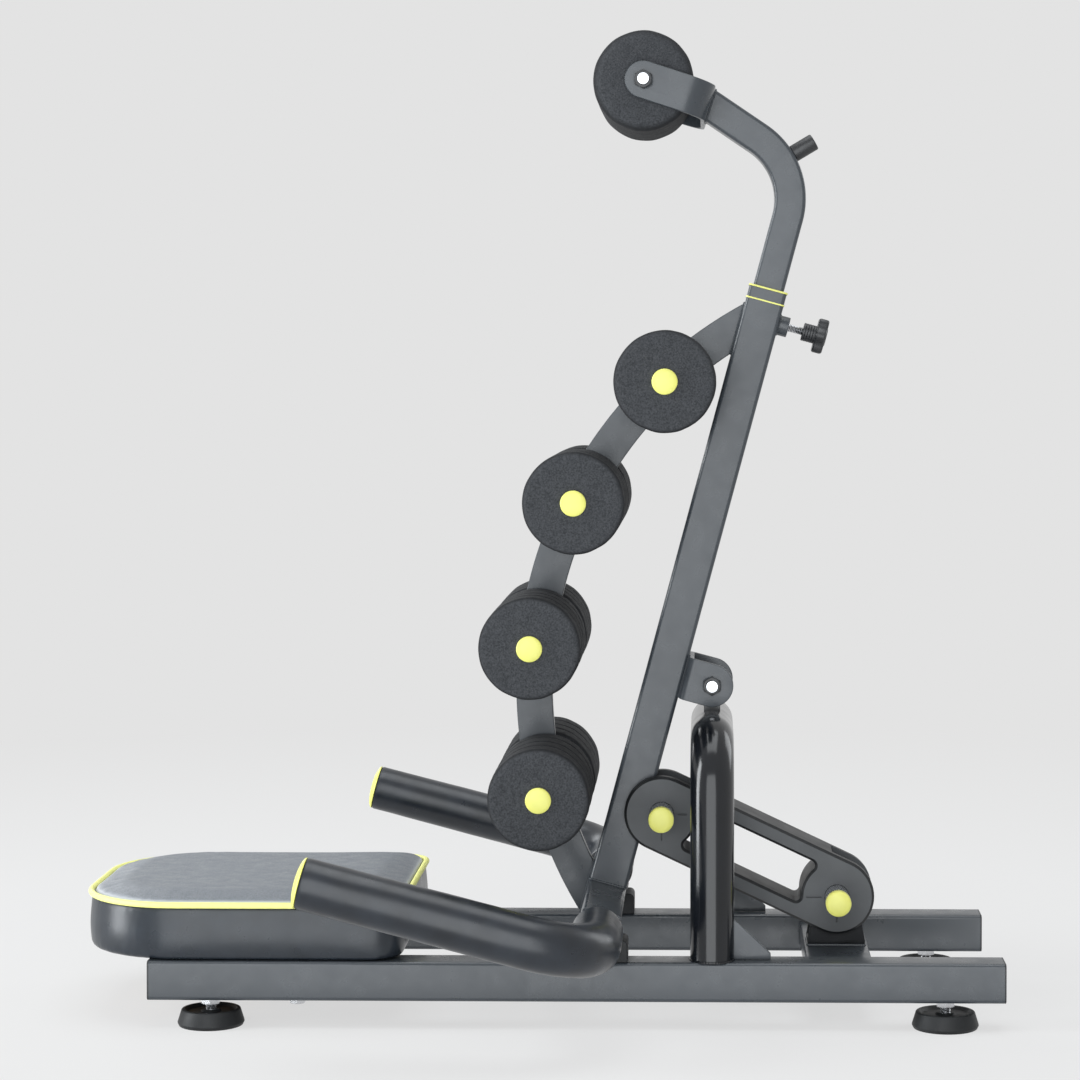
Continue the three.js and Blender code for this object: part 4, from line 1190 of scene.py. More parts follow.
def grip_sleeve(name, path):
    """A sleeve with rounded rims round a path, which grows thicker along the arm up to its bend."""
    start, heading = path[0]
    end, last_heading = path[-1]
    path[1:1] = [(start + heading * grip_ease * share, heading) for share in grip_ease_shares]
    path[-1:-1] = [
        (end - last_heading * grip_ease * share, last_heading) for share in reversed(grip_ease_shares)
    ]
    travelled = [0.0]
    for a, b in zip(path, path[1:]):
        travelled.append(travelled[-1] + (b[0] - a[0]).length)

    def section(i):
        here = travelled[i]
        grown = min(here / (arm_length - handle_bend), 1)
        radius = grip_tip_radius + (grip_thick_radius - grip_tip_radius) * grown
        drop = max(0, 1 - min(here, travelled[-1] - here) / grip_ease)
        return circle(radius - grip_ease * (1 - math.sqrt(1 - drop * drop)), grip_points)

    mesh = swept(name, path, handle_plane, section, circle(handle_radius + contact_gap, grip_points))
    unevenness(mesh, grip_noise_size, grip_noise_depth)
    return mesh


cap_tip = handle_radius - handle_wall - contact_gap
cap_profile = dome(grip_tip_radius, cap_dome, cap_dome, 12)
cap_profile += [(grip_tip_radius - plate_edge, -contact_gap / 2), (cap_tip, -contact_gap / 2)]
cap_profile += [(cap_tip, -cap_stem), (0, -cap_stem)]
for side, sign in sides.items():
    grip_end = foot + Y * sign * (housing_half + grip_end_gap)
    path = stepped(bent_path([tips[side], bends[side], grip_end], handle_bend, 24), grip_step)
    grip = grip_sleeve(f"{side}_grip", path)
    grip_piece = add_piece(f"{side}_grip_sleeve", grip, "grip_foam", f"{side}_grip")
    cap = placed(turned("cap", cap_profile), along(arm, tips[side] + arm * contact_gap))
    add_piece(f"{side}_grip_end_cap", cap, "yellow_plastic", f"{side}_grip_cap")
print("handle arms reach", round(arm_length / mm, 1), "mm")

# %% [markdown]
# The bow bar is an arc of flat bar that holds the back rollers. Four roller centres lie on its middle line,
# so three of them give the circle, and the flat face at its ends is the front of the post.

# %% Bow bar
roller_count = 4
axle_radius = 9.5 * mm
bow_edge = 0.9 * mm
bow_steps = 90


def lever_flat(place):
    """A place on the lever as distances back and up from its foot."""
    return Vector(((place - foot).dot(back), (place - foot).dot(up)))


def circle_through(a, b, c):
    """The middle and the radius of the circle through three places."""
    b, c = b - a, c - a
    twice = 2 * (b.x * c.y - b.y * c.x)
    one, two = b.length_squared, c.length_squared
    middle = a + Vector(((c.y * one - b.y * two) / twice, (b.x * two - c.x * one) / twice))
    return middle, (a - middle).length


roller_places = [
    lever_flat((centre(f"roller_{number}_left_foam") + centre(f"roller_{number}_right_foam")) / 2)
    for number in range(1, roller_count + 1)
]
bow_middle, bow_radius = circle_through(roller_places[0], roller_places[1], roller_places[3])
bow_front, bow_face = reach("bow_bar", back, foot)
bow_half = bow_middle.x - bow_front - bow_radius
bow_low, bow_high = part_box("bow_bar")
outline = []
end_heights = []
for radius, way in ((bow_radius + bow_half, 1), (bow_radius - bow_half, -1)):
    spread = math.degrees(math.acos((bow_middle.x - bow_face) / radius))
    outline += arc(bow_middle.x, bow_middle.y, radius, 180 - way * spread, 180 + way * spread, bow_steps)
    end_heights.append(radius * math.sin(math.radians(spread)))
holes = [circle(axle_radius + contact_gap, 40, place.x, place.y) for place in roller_places]
bar = plate("bow_bar", outline, holes, bow_high.y - bow_low.y, bow_edge)
add_piece("bow_flat_bar", placed(bar, lever_side), "frame_paint", "bow_bar")
for name, way in (("top", 1), ("bottom", -1)):
    outer, inner = [bow_middle.y + way * height for height in end_heights]
    corners = [(outer, bow_low.y), (outer, bow_high.y), (inner, bow_high.y), (inner, bow_low.y)]
    weld(f"bow_{name}_weld", [on_lever(bow_face, height, y) for height, y in corners], "lever")
print("bow radius", round(bow_radius / mm, 1), "mm")

# %% [markdown]
# A roller half is a sleeve of foam, cut to length, so its ends are flat with softly rounded corners, and
# three grooves run round it. It is soft and never quite true, so a little noise moves its surface.

# %% Foam rollers
roller_edge = 5 * mm
neck_edge = 9 * mm
bore_edge_share = 0.2  # of the edge's radius
groove_count = 3
groove_width = 5 * mm
groove_depth = 3 * mm
axle_play = 0.5 * mm
foam_step = 4 * mm
foam_noise_size = 14 * mm
foam_noise_depth = 0.5 * mm
foam_points = 120
soft_crease = math.radians(60)


def dense(points, step):
    """An outline with more points on its long edges."""
    full = []
    for i, p in enumerate(points):
        q = points[(i + 1) % len(points)]
        pieces = max(int((q - p).length / step), 1)
        full += [p + (q - p) * k / pieces for k in range(pieces)]
    return full


def foam_sleeve(name, radius, bore, half, edge, grooves):
    corners = [(bore, -half, edge * bore_edge_share), (radius, -half, edge)]
    for i in range(1, grooves + 1):
        middle = -half + 2 * half * i / (grooves + 1)
        corners += [
            (radius, middle - groove_width / 2, groove_width / 6),
            (radius - groove_depth, middle, groove_width / 6),
            (radius, middle + groove_width / 2, groove_width / 6),
        ]
    corners += [(radius, half, edge), (bore, half, edge * bore_edge_share)]
    mesh = turned(name, [(p.x, p.y) for p in dense(rounded(corners, True, 5), foam_step)], foam_points)
    unevenness(mesh, foam_noise_size, foam_noise_depth)
    soften(mesh, soft_crease)
    return mesh


def add_foam(node, bore, edge, grooves):
    low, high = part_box(node)
    sleeve = foam_sleeve(node, (high.z - low.z) / 2, bore, (high.y - low.y) / 2, edge, grooves)
    piece = add_piece(f"{node}_sleeve", placed(sleeve, along(Y, centre(node))), "roller_foam", node)


for number in range(1, roller_count + 1):
    for side in sides:
        add_foam(f"roller_{number}_{side}_foam", axle_radius + axle_play, roller_edge, groove_count)
print("roller halves:", 2 * roller_count)

# %% [markdown]
# Each axle is a steel rod through the bow bar. A yellow cap is pressed on both its ends, and its low dome
# gives the bright spot in the middle of every roller.

# %% Axles and their caps
cap_radius = 12.4 * mm
cap_rim = 2 * mm
axle_cap_dome = 2.4 * mm
for number in range(1, roller_count + 1):
    node = f"roller_axle_{number}"
    half_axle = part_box(node)[1].y
    middle = centre(node)
    cap_foot = half_axle - cap_rim - axle_cap_dome
    axle = placed(rod("axle", axle_radius, -cap_foot, cap_foot, 40), along(Y, middle))
    add_piece(f"axle_rod_{number}", axle, "bright_steel", node)
    profile = dome(cap_radius, half_axle, axle_cap_dome, 8) + [(cap_radius, cap_foot), (0, cap_foot)]
    for side, sign in sides.items():
        cap = placed(turned("cap", profile, 48), along(Y * sign, Vector((middle.x, 0, middle.z))))
        add_piece(f"roller_cap_{number}_{side}", cap, "axle_with_caps", body="lever", look=cap_plastic)
print("axles:", roller_count)

# %% [markdown]
# A yoke is one strip of plate, folded twice. It is drawn flat with its two holes, cut across where it bends,
# and then each point is carried round the bend, as a press brake would do it.

# %% Yokes and bolts
bolt_radius = 6 * mm
bolt_head_radius = 9.5 * mm
bolt_head_height = 6 * mm
bolt_ease = 4 * mm
fold_steps = 12
meets_within = 1e-7


def divided(mesh, stations, direction):
    """The same mesh, with an edge loop across it at every station."""
    bm = bmesh.new()
    bm.from_mesh(mesh)
    name = mesh.name
    bpy.data.meshes.remove(mesh)
    for station in stations:
        every = bm.verts[:] + bm.edges[:] + bm.faces[:]
        place = direction * station
        bmesh.ops.bisect_plane(bm, geom=every, dist=meets_within, plane_co=place, plane_no=direction)
    return mesh_from(bm, name)


def yoke(name, width, thickness, bend, reach_back, radius):
    """A folded strip. Its bolt runs along y through the origin, and its web's face is at x = -reach_back."""
    web_half = width / 2 - bend
    fold_radius = bend - thickness / 2
    fold_length = fold_radius * math.pi / 2
    bolt_at = web_half + fold_length + reach_back - bend
    outline = arc(bolt_at, 0, radius, -90, 90, 24) + arc(-bolt_at, 0, radius, 90, 270, 24)
    holes = [circle(bolt_radius + contact_gap, 32, side * bolt_at, 0) for side in (-1, 1)]
    folds = [web_half + fold_length * step / fold_steps for step in range(fold_steps + 1)]
    stations = [side * fold for side in (-1, 1) for fold in folds]
    strip = divided(plate(name, outline, holes, thickness, plate_edge), stations, X)
    for v in strip.vertices:
        s, across, out = v.co
        side = math.copysign(1, s)
        beyond = abs(s) - web_half
        turn = min(max(beyond / fold_radius, 0), math.pi / 2)
        x = -reach_back + bend - (fold_radius + out) * math.cos(turn) + max(beyond - fold_length, 0)
        y = side * (min(abs(s), web_half) + (fold_radius + out) * math.sin(turn))
        v.co = (x, y, across)
    return joined([strip], name)


def add_bolt(name, place):
    """A hexagon bolt along y with its head on the right and its nut on the left."""
    low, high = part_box(f"{name}_bolt")
    nut_low, nut_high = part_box(f"{name}_nut")
    seat = high.y - bolt_head_height
    spot = along(-Y, place)
    head = hexagon("head", bolt_head_radius, -high.y, -seat, 0)
    shank = threaded("shank", bolt_radius, -seat, -low.y, -nut_high.y - bolt_ease)
    bolt = placed(joined([head, shank], "bolt"), spot)
    add_piece(f"{name}_hex_bolt", bolt, "bright_steel", f"{name}_bolt")
    nut = hexagon("nut", bolt_head_radius, -nut_high.y, -nut_low.y, bolt_radius + contact_gap / 2)
    add_piece(f"{name}_hex_nut", placed(nut, spot), "black_plastic", f"{name}_nut")


weld_inset = 2 * mm


def post_weld(name, height, half_height):
    """A weld round a bracket on the back of the post."""
    half_width = half_post - weld_inset
    low, high = height - half_height, height + half_height
    corners = [(low, -half_width), (low, half_width), (high, half_width), (high, -half_width)]
    weld(name, [on_lever(half_post, z, y) for z, y in corners], "lever")


clevis_low, clevis_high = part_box("clevis_bracket")
clevis_thickness = 5 * mm
clevis_bend = 7 * mm
clevis_radius = 21 * mm
clevis_width = clevis_high.y - clevis_low.y
pivot_flat = lever_flat(pivot)
clevis_reach = pivot_flat.x - cradle
clevis = yoke("clevis", clevis_width, clevis_thickness, clevis_bend, clevis_reach, clevis_radius)
add_piece("clevis_folded_plate", placed(clevis, basis(back, Y, pivot)), "frame_paint", "clevis_bracket")
add_bolt("pivot", pivot)
post_weld("clevis_weld", pivot_flat.y, clevis_radius)
print("clevis stands", round(clevis_reach / mm, 1), "mm off the post")

# %% [markdown]
# A peg is a steel rod with a yellow cap on each end. Brackets hold the two pegs: a thick eye on the back of
# the post, and two plates on a foot that stands on the rear cross member.

# %% Pegs and their brackets
peg_radius = 12 * mm
peg_cap_radius = 12.5 * mm
peg_cap_length = 10 * mm
peg_cap_dome = 3 * mm
bracket_radius = 20 * mm
bracket_wall = 6 * mm
bracket_edge = 1 * mm
base_corner = 1 * mm
cheek_foot = 0.8 * bracket_wall  # how high its foot stands straight
front_peg = centre("front_peg")
rear_peg = centre("rear_peg")
peg_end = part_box("front_peg")[1].y
cap_foot = peg_end - peg_cap_length
half_rod = cap_foot + peg_cap_length / 2
cap_profile = dome(peg_cap_radius, peg_end, peg_cap_dome, 8)
cap_profile += [(peg_cap_radius, cap_foot), (peg_radius, cap_foot), (peg_radius, half_rod), (0, half_rod)]
for end, place in (("front", front_peg), ("rear", rear_peg)):
    peg = placed(rod("rod", peg_radius, -half_rod, half_rod), along(Y, place))
    add_piece(f"{end}_peg_rod", peg, "bright_steel", f"{end}_peg")
    for side, sign in sides.items():
        cap = placed(turned("cap", cap_profile), along(Y * sign, place))
        add_piece(f"{end}_peg_cap_{side}", cap, "yellow_plastic", body=body_of[f"{end}_peg"])

peg_flat = lever_flat(front_peg)
bore = circle(peg_radius + contact_gap, 48)
eye_foot = cradle - peg_flat.x
eye_line = arc(0, 0, bracket_radius, -90, 90, 32)
eye_line += [Vector((eye_foot, bracket_radius)), Vector((eye_foot, -bracket_radius))]
eye = plate("eye", eye_line, [bore], post_size, bracket_edge)
add_piece("front_bracket_eye", placed(eye, basis(back, up, front_peg)), "frame_paint", "front_peg_bracket")
post_weld("front_bracket_weld", peg_flat.y, bracket_radius)

low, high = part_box("rear_peg_bracket")
bracket_foot = low.z - rear_peg.z
bracket_half = (high.x - low.x) / 2
straight_top = bracket_foot + cheek_foot
cheek_line = arc(0, 0, bracket_radius, 0, 180, 32)
cheek_line += [Vector((-bracket_half, straight_top)), Vector((-bracket_half, bracket_foot))]
cheek_line += [Vector((bracket_half, bracket_foot)), Vector((bracket_half, straight_top))]
plates = []
for sign in (-1, 1):
    cheek = plate("cheek", cheek_line, [bore], bracket_wall, bracket_edge)
    plates.append(placed(cheek, basis(X, Z, rear_peg + Y * sign * (half_post - bracket_wall / 2))))
base_line = rounded_box(2 * bracket_half, post_size, base_corner)
base_plate = plate("base", base_line, [], bracket_wall, bracket_edge)
plates.append(placed(base_plate, rear_peg + Z * (bracket_foot + bracket_wall / 2)))
rear_bracket = joined(plates, "rear_bracket")
# the matt black here is painted shade under the link
add_piece("rear_bracket_plates", rear_bracket, "frame_paint", "rear_peg_bracket", look=bracket_painted_shade_coat)
weld("rear_bracket_weld", [Vector((rear_peg.x + p.x, p.y, low.z)) for p in base_line], "base")
print("pegs are", round((rear_peg - front_peg).length / mm, 1), "mm apart")

# %% [markdown]
# The link is one thick moulding: two eyes joined by two strands, with chamfered edges. Its window ends in the
# curve of each eye. Both ends are forked, so that they go round the brackets, and small moulding marks are
# sunk beside the pegs. Edge loops are laid across the strands near the front eye, where they stretch and bend
# when the post leans back and the front eye goes with it.

# %% Rubber link
link_radius = 37 * mm
link_strand = 15.5 * mm
link_window = 35.5 * mm
link_fillet = 5 * mm
link_chamfer = 2.5 * mm
fork_play = 2 * mm
fork_side_gap = 0.8 * mm
mark_depth = 2 * mm
stretch_start = 12 * mm
stretch_end = 75 * mm
stretch_step = 4.5 * mm
span = rear_peg - front_peg
link_length = span.length
link_way = span / link_length
link_across = Vector((-link_way.z, 0, link_way.x))
link_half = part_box("rubber_link")[1].y
outline = arc(0, 0, link_radius, 90, 270, 48) + arc(link_length, 0, link_radius, -90, 90, 48)
fillet_y = link_radius - link_strand - link_fillet
fillet_x = math.sqrt((link_window + link_fillet) ** 2 - fillet_y**2)
far_x = link_length - fillet_x
lean_in = math.degrees(math.atan2(fillet_y, fillet_x))
window = arc(0, 0, link_window, -lean_in, lean_in, 16)
window += arc(fillet_x, fillet_y, link_fillet, 180 + lean_in, 90, 8)[1:]
window += arc(far_x, fillet_y, link_fillet, 90, -lean_in, 8)
window += arc(link_length, 0, link_window, 180 - lean_in, 180 + lean_in, 16)[1:]
window += arc(far_x, -fillet_y, link_fillet, lean_in, -90, 8)[1:]
window += arc(fillet_x, -fillet_y, link_fillet, 270, 180 - lean_in, 8)[:-1]
rubber = plate("rubber_link", outline, [window], 2 * link_half, link_chamfer, 0)
past_side = 2 * link_half
past_end = 2 * link_radius
fork_floor = bracket_radius + fork_play
fork_half = half_post + fork_side_gap
for x in (0, link_length):
    rubber = cut(rubber, placed(rod("way", peg_radius + contact_gap, -past_side, past_side, 64), (x, 0, 0)))
for low_x, high_x in ((-past_end, fork_floor), (link_length - fork_floor, link_length + past_end)):
    rubber = cut(rubber, block((low_x, -past_end, -fork_half), (high_x, past_end, fork_half)))
rubber = placed(rubber, basis(link_way, link_across, front_peg))
marks = [
    # peg, then the left end, right end, bottom and top of the mark from it, in mm
    (rear_peg, -30, -15, -1, 1),
    (rear_peg, -0.7, 0.7, -25, -17),
    (front_peg, 16, 25, -1, 1),
    (front_peg, -0.7, 0.7, -26, -18),
]
for place, left, right, bottom, top in marks:
    for sign in (-1, 1):
        near, far = sorted((sign * (link_half - mark_depth), sign * (link_half + mark_depth)))
        corner_low = (place.x + left * mm, near, place.z + bottom * mm)
        corner_high = (place.x + right * mm, far, place.z + top * mm)
        rubber = cut(rubber, block(corner_low, corner_high))
stations = int((stretch_end - stretch_start) / stretch_step) + 2
first_station = front_peg.dot(link_way) + stretch_start
rubber = divided(rubber, [first_station + stretch_step * k for k in range(stations)], link_way)
link_piece = in_scene("moulded_rubber_link", rubber)
rubber.materials.clear()
rubber.materials.append(link_rubber)
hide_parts("rubber_link")
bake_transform(link_piece)
print("link is", round((link_length + 2 * link_radius) / mm, 1), "mm long")

# %% [markdown]
# The seat is upholstered: a cover pulled over foam on a board. The drawn shape is made a little too small,
# turned into an even mesh, and blown up by the cloth solver with its seam and its underside held, so the
# panels swell between their seams as a stuffed cover does.

# %% Seat: the drawn shape
seat_front_corner = 100 * mm
seat_rear_corner = 34 * mm
least_corner_share = 0.25
piping_radius = 3 * mm
side_bulge = 2 * mm
band_shares = [(1, 0), (0.4, 0.15), (0, 1 / 3), (0, 1 / 2)]  # of the bulge, and of the side's height
furrow_shares = [(0.6, 0.9), (1, 1)]  # of the piping's radius, and of the side's height
crown_shares = (0.015, 0.03, 0.06, 0.1, 0.15, 0.22, 0.3, 0.45, 0.6, 0.78)  # of half the seat's width
crown_power = 30
start_smaller = 1.5 * mm
seat_low, seat_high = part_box("seat_cushion")
seam_z = centre("seat_piping").z
crown = seat_high.z - seam_z
seat_side = seam_z - seat_low.z


def seat_line(inset, steps=12):
    """The seat's outline, so far in from its edge."""
    rear = max(seat_rear_corner - inset, seat_rear_corner * least_corner_share)
    front = max(seat_front_corner - inset, seat_front_corner * least_corner_share)
    x_low, x_high, y = seat_low.x + inset, seat_high.x - inset, seat_high.y - inset
    corners = [(x_high, -y, rear), (x_high, y, rear), (x_low, y, front), (x_low, -y, front)]
    return rounded(corners, True, steps)


def cushion_shape(smaller):
    """Rings from the foot of the side band, over the seam, to the middle of the top panel."""
    levels = [(side_bulge * inward, seat_side * height) for inward, height in band_shares]
    levels += [(piping_radius * inward, seat_side * height) for inward, height in furrow_shares]
    for share in crown_shares:
        rise = crown * (1 - (1 - share) ** crown_power)
        levels.append((piping_radius + share * seat_high.y, seat_side + rise))
    rings = []
    for inset, height in levels:
        drop = smaller * max(0, height - seat_side) / crown
        rings.append([Vector((p.x, p.y, seat_low.z + height - drop)) for p in seat_line(inset + smaller)])
    return lofted("cushion", rings)


print("crown of", round(crown / mm, 1), "mm")

# %% [markdown]
# Cloth swells evenly only where its faces are even, so the drawn shape is first turned into a fine grid. The
# solver then presses the grid outward. Points near the seam and the underside are held, and no other point
# may go further than the padding would let it.

# %% Seat: blowing up the cover
cover_grid = 4 * mm
cover_pressure = 4
cover_limit = 2.2 * mm
cover_frames = 20
cover_smoothing = 0.5
held_margin = 3.5 * mm


def blown_up(mesh, held):
    """The cloth solver swells a closed mesh. Held points stay, and no point moves past the limit."""
    piece = in_scene("cover_cloth", mesh)
    group = piece.vertex_groups.new(name="held")
    group.add(held, 1, "REPLACE")
    cloth = piece.modifiers.new("cover", "CLOTH")
    cloth.settings.use_pressure = True
    cloth.settings.uniform_pressure_force = cover_pressure
    cloth.settings.effector_weights.gravity = 0
    cloth.settings.vertex_group_mass = group.name
    cloth.point_cache.frame_start = 1
    cloth.point_cache.frame_end = cover_frames
    for frame_number in range(1, cover_frames + 1):
        bpy.context.scene.frame_set(frame_number)
    result = evaluated(piece)
    for before, after in zip(mesh.vertices, result.vertices):
        move = after.co - before.co
        if move.length > cover_limit:
            after.co = before.co + move * (cover_limit / move.length)
    bpy.data.meshes.remove(mesh)
    bpy.context.scene.frame_set(1)
    return result


cover = cushion_shape(start_smaller)
cover = modified(cover, "REMESH", mode="VOXEL", voxel_size=cover_grid)
low_limit = seat_low.z + held_margin
held = [v.index for v in cover.vertices if abs(v.co.z - seam_z) < held_margin or v.co.z < low_limit]
cover = modified(blown_up(cover, held), "SMOOTH", factor=cover_smoothing, iterations=3)
cover = modified(cover, "SUBSURF", levels=1, render_levels=1)
tallest = max(v.co.z for v in cover.vertices)
print("cover:", len(cover.vertices), "points, its top at", round(tallest / mm, 1), "mm")

# %% [markdown]
# The stitching pulls the cover in along its seam. The piping lies in that furrow and hides the line where the
# matt top panel meets the smoother side band. The board goes into a pocket that is cut for it from below.

# %% Seat: seam, piping and board
board_inset = 16 * mm
stitch_depth = 1.5 * mm
stitch_reach = 4 * mm
seat_middle = centre("seat_cushion")
for v in cover.vertices:
    from_edge = min(seat_high.y - abs(v.co.y), v.co.x - seat_low.x, seat_high.x - v.co.x)
    if from_edge < seat_front_corner / 2:
        outward = Vector((v.co.x - seat_middle.x, v.co.y, 0)).normalized()
        depth = stitch_depth * math.exp(-(((v.co.z - seam_z) / stitch_reach) ** 2))
        v.co -= outward * depth
    v.co.z = max(v.co.z, seat_low.z)
board_low, board_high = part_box("seat_board")
pocket_heights = (board_low.z - bead_radius, board_high.z + contact_gap)
pocket_line = seat_line(board_inset - contact_gap)
pocket = lofted("pocket", [[Vector((p.x, p.y, z)) for p in pocket_line] for z in pocket_heights])
cover = cut(cover, pocket)
soften(cover, soft_crease)
seat_piece = add_piece("seat_padded_cover", cover, "seat_cover", "seat_cushion", look=side_band)
cover.materials.append(top_panel)
for polygon in cover.polygons:
    polygon.material_index = 1 if polygon.center.z > seam_z else 0
piping_path = loop_path([Vector((p.x, p.y, seam_z)) for p in seat_line(piping_radius, 24)])
piping = swept("piping", piping_path, Z, circle(piping_radius, 16), None, True)
add_piece("seat_piping_cord", piping, "yellow_piping", "seat_piping")
board_mesh = plate("board", seat_line(board_inset), [], board_high.z - board_low.z, plate_edge)
board_mesh = placed(board_mesh, Z * centre("seat_board").z)
add_piece("seat_plywood", board_mesh, "board_wood", "seat_board")
print("seat is", round((seat_high.x - seat_low.x) / mm, 1), "mm long")

# %% [markdown]
# The headrest's tube slides in a yellow bush at the top of the post. It is square tube too, bent forward, so
# one sweep makes it, and a cutting block trims its end to lie flat against the fork. The fork is a yoke like
# the clevis, which saves drawing it anew. A short plastic stub stands on the bend.

# %% Headrest
bush_lip = 0.8 * mm
bush_wall = 1.4 * mm
flange_ease = 0.4 * mm
band_drop = 12 * mm
band_height = 1.4 * mm
upper_wall = 2 * mm
upper_corner = 4 * mm
upper_bend = 72 * mm
upper_rise = 74.7 * mm
upper_reach = 57.5 * mm
head_turn = math.radians(70.9)
fork_tilt = math.radians(3.2)
fork_thickness = 4 * mm
fork_bend = 26 * mm
fork_reach = 68 * mm
fork_drop = 1.6 * mm
fork_radius = 18 * mm
fork_cut_stretch = 1.04  # the tube's height where the fork cuts it at a slant
past_tube = 100 * mm
stub_turn = math.radians(45.7)
stub_radius = 8.5 * mm
stub_length = 24 * mm
stub_foot_ease = 0.5 * mm
stub_chamfer = 1.5 * mm


def squares_up(name, sections):
    """A hollow square piece along the post, as (size, corner, height) from its foot round to its bore."""
    bm = bmesh.new()
    rings = []
    for size, corner, height in sections:
        points = [on_lever(p.x, height, p.y) for p in rounded_box(size, size, corner)]
        rings.append([bm.verts.new(p) for p in points])
    skin(bm, rings, True)
    return mesh_from(bm, name)


bush_outer = post_size - 2 * (post_wall + contact_gap)
bush_inner = bush_outer - 2 * bush_wall
bush_corner = tube_corner - post_wall
bush_low, bush_high = reach("guide_bush", up, foot)
flange_size = post_size + 2 * bush_lip
flange_foot = post_top + contact_gap
bush = squares_up(
    "bush",
    [
        (bush_outer, bush_corner, bush_low),
        (bush_outer, bush_corner, flange_foot),
        (flange_size, tube_corner, flange_foot),
        (flange_size, tube_corner, bush_high - flange_ease),
        (flange_size - 2 * flange_ease, tube_corner - flange_ease, bush_high),
        (bush_inner, bush_corner, bush_high),
        (bush_inner, bush_corner, bush_low),
    ],
)
add_piece("yellow_guide_bush", bush, "yellow_plastic", "guide_bush")
band_foot = post_top - band_drop
band_corners = [
    (post_size, band_foot),
    (flange_size, band_foot),
    (flange_size, band_foot + band_height),
    (post_size, band_foot + band_height),
]
band = squares_up("band", [(size - contact_gap, tube_corner, height) for size, height in band_corners])
add_piece("yellow_post_band", band, "yellow_plastic", body="lever")

upper_size = 2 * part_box("upper_tube")[1].y
upper_low = reach("upper_tube", up, foot)[0]
bend_start = post_top + upper_rise
bend_setback = upper_bend * math.tan(head_turn / 2)
forward = up * math.cos(head_turn) - back * math.sin(head_turn)
bend_corner = on_lever(0, bend_start + bend_setback)
upper_end = bend_corner + forward * (bend_setback + upper_reach + upper_size)
path = bent_path([on_lever(0, upper_low), bend_corner, upper_end], upper_bend, 28)
upper = box_tube("upper_tube", path, Y, upper_size, upper_size, upper_corner, upper_wall)
neck = centre("neck_roller")
ahead = up * math.sin(fork_tilt) - back * math.cos(fork_tilt)
fork_side = basis(ahead, Y, neck)
trim = block((-fork_reach - contact_gap, -past_tube, -past_tube), (past_tube, past_tube, past_tube))
upper = cut(upper, placed(trim, fork_side))
add_piece("headrest_square_tube", upper, "frame_paint", "upper_tube")

stub_way = back * math.cos(stub_turn) + up * math.sin(stub_turn)
stub_foot = on_lever(-upper_bend, bend_start) + stub_way * (upper_bend + upper_size / 2 + contact_gap)
stub_corners = [
    (0, 0, 0),
    (stub_radius, 0, stub_foot_ease),
    (stub_radius, stub_length, stub_chamfer),
    (0, stub_length, 0),
]
stub = placed(turned("stub", rounded(stub_corners, False, 5), 48), along(stub_way, stub_foot))
add_piece("bend_stub", stub, "black_plastic", "top_stub")

fork_width = 2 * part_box("neck_fork")[1].y
fork = yoke("neck_fork", fork_width, fork_thickness, fork_bend, fork_reach, fork_radius)
add_piece("neck_folded_fork", placed(fork, fork_side), "frame_paint", "neck_fork")
add_bolt("neck", neck)
fork_back = neck - ahead * (fork_reach + contact_gap)
fork_up = ahead.cross(Y)
tube_end = rounded_box(upper_size, upper_size, upper_corner)
ring = [fork_back + Y * p.x + fork_up * (p.y * fork_cut_stretch - fork_drop) for p in tube_end]
weld("fork_weld", ring, "headrest")
add_foam("neck_roller", bolt_radius + axle_play, neck_edge, 0)
print("headrest tube is", round(upper_size / mm, 1), "mm square")

# %% [markdown]
# The headrest is clamped by a knob with six lobes. Its screw runs in a boss that is welded to the post, and a
# ribbed hub joins the screw to the head. The head could be carved out of a disc. A plate whose outline swings
# in and out with a cosine is quicker, and gives the lobes and their soft edge at once.

# %% Height knob
boss_radius = 10 * mm
boss_height = 10 * mm
boss_ease = 0.8 * mm
boss_bore_ease = 0.5 * mm
boss_bead_radius = 1 * mm
screw_radius = 4 * mm
screw_clear = 14.5 * mm
hub_radius = 9 * mm
hub_height = 13 * mm
hub_rib = 0.4 * mm
hub_ribs = 4
knob_radius = 19 * mm
knob_height = 10.5 * mm
knob_lobes = 6
knob_lobe_points = 30
knob_dip = 3 * mm
knob_ease = 2.2 * mm
knob_drop = 30.5 * mm
button_rise = 0.8 * mm
knob_foot = on_lever(cradle, post_top - knob_drop)
knob_side = along(back, knob_foot)
boss_bore = screw_radius + contact_gap
boss_corners = [
    (boss_bore, 0, 0),
    (boss_radius, 0, 0),
    (boss_radius, boss_height, boss_ease),
    (boss_bore, boss_height, boss_bore_ease),
]
boss = placed(turned("boss", rounded(boss_corners, True, 4), 56), knob_side)
add_piece("knob_threaded_boss", boss, "frame_paint", "knob_boss")
ring = [knob_foot + Y * p.x + up * p.y for p in circle(boss_radius, 40)]
weld("boss_weld", ring, "lever", radius=boss_bead_radius)

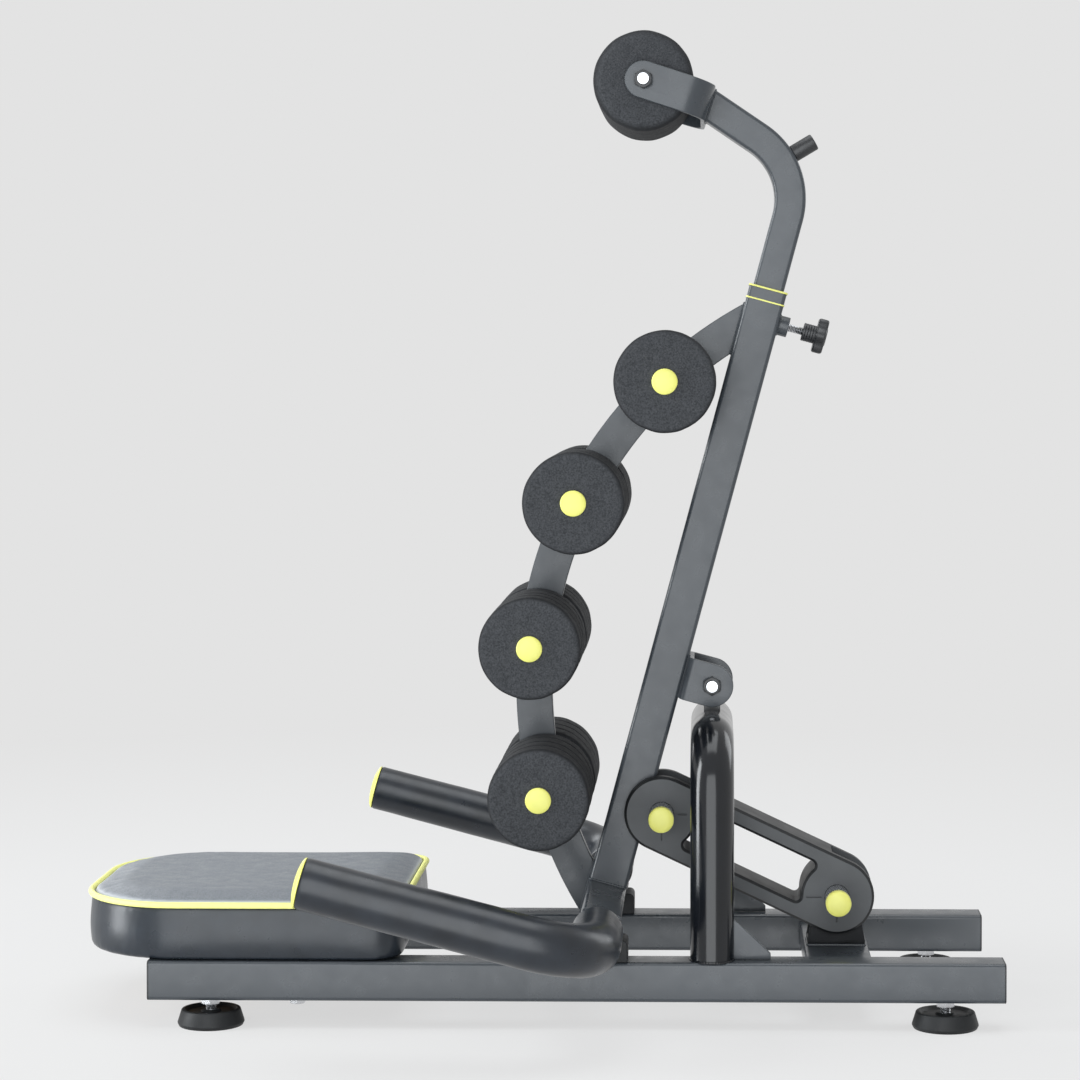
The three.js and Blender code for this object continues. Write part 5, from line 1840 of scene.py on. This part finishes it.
screw_tip = (half_post - post_wall - contact_gap - bush_wall) - cradle
hub_foot = boss_height + screw_clear
head_foot = hub_foot + hub_height
screw = threaded("screw", screw_radius, screw_tip, hub_foot + hub_rib, -screw_radius / 2)
add_piece("knob_screw", placed(screw, knob_side), "bright_steel", body="height_knob")
hub_corners = [(0, hub_foot, 0), (hub_radius, hub_foot, button_rise)]
for i in range(1, hub_ribs + 1):
    z = hub_foot + hub_height * i / (hub_ribs + 1)
    hub_corners += [(hub_radius, z - hub_rib, 0), (hub_radius - hub_rib, z, 0), (hub_radius, z + hub_rib, 0)]
hub_corners += [(hub_radius, head_foot + knob_ease, 0), (0, head_foot + knob_ease, 0)]
hub = turned("hub", rounded(hub_corners, False, 3), 48)
lobes = []
for p in circle(1, knob_lobe_points * knob_lobes):
    dip = knob_dip * (1 - math.cos(knob_lobes * math.atan2(p.y, p.x))) / 2
    lobes.append(p * (knob_radius - dip))
head = plate("head", lobes, [], knob_height, knob_ease, 4)
head_middle = head_foot + knob_height / 2
head = placed(head, (0, 0, head_middle))
button_top = head_foot + knob_height + button_rise
button_corners = [
    (0, head_middle, 0),
    (hub_radius, head_middle, 0),
    (hub_radius, button_top, button_rise),
    (0, button_top, 0),
]
button = turned("button", rounded(button_corners, False, 4), 48)
knob = joined([hub, head, button], "knob")
add_piece("six_lobed_knob", placed(knob, knob_side), "black_plastic", "height_knob")
print("knob stands", round((head_foot + knob_height) / mm, 1), "mm off the post")

# %% [markdown]
# A hexagon bolt under each rail fixes it to the front cross member. Its head is the same hexagon as the nuts,
# only without a bore, so no new tool is needed.

# %% Rail bolts
rail_bolt_radius = 8 * mm
rail_bolt_height = 5 * mm
rail_bolt_ahead = 8 * mm
rail_bolt_x = centre("front_cross_member").x - rail_bolt_ahead
bolt_top = rail_low.z - contact_gap
for side, sign in sides.items():
    bolt = hexagon("rail_bolt", rail_bolt_radius, bolt_top - rail_bolt_height, bolt_top, 0)
    bolt = placed(bolt, (rail_bolt_x, sign * rail_y, 0))
    add_piece(f"{side}_rail_bolt", bolt, "bright_steel", body="base")
print("rail bolts:", len(sides))

# %% [markdown]
# Last, nothing more is added: every piece was handed to its body as it was put in the scene.

# %% Finish
print("all pieces dressed")
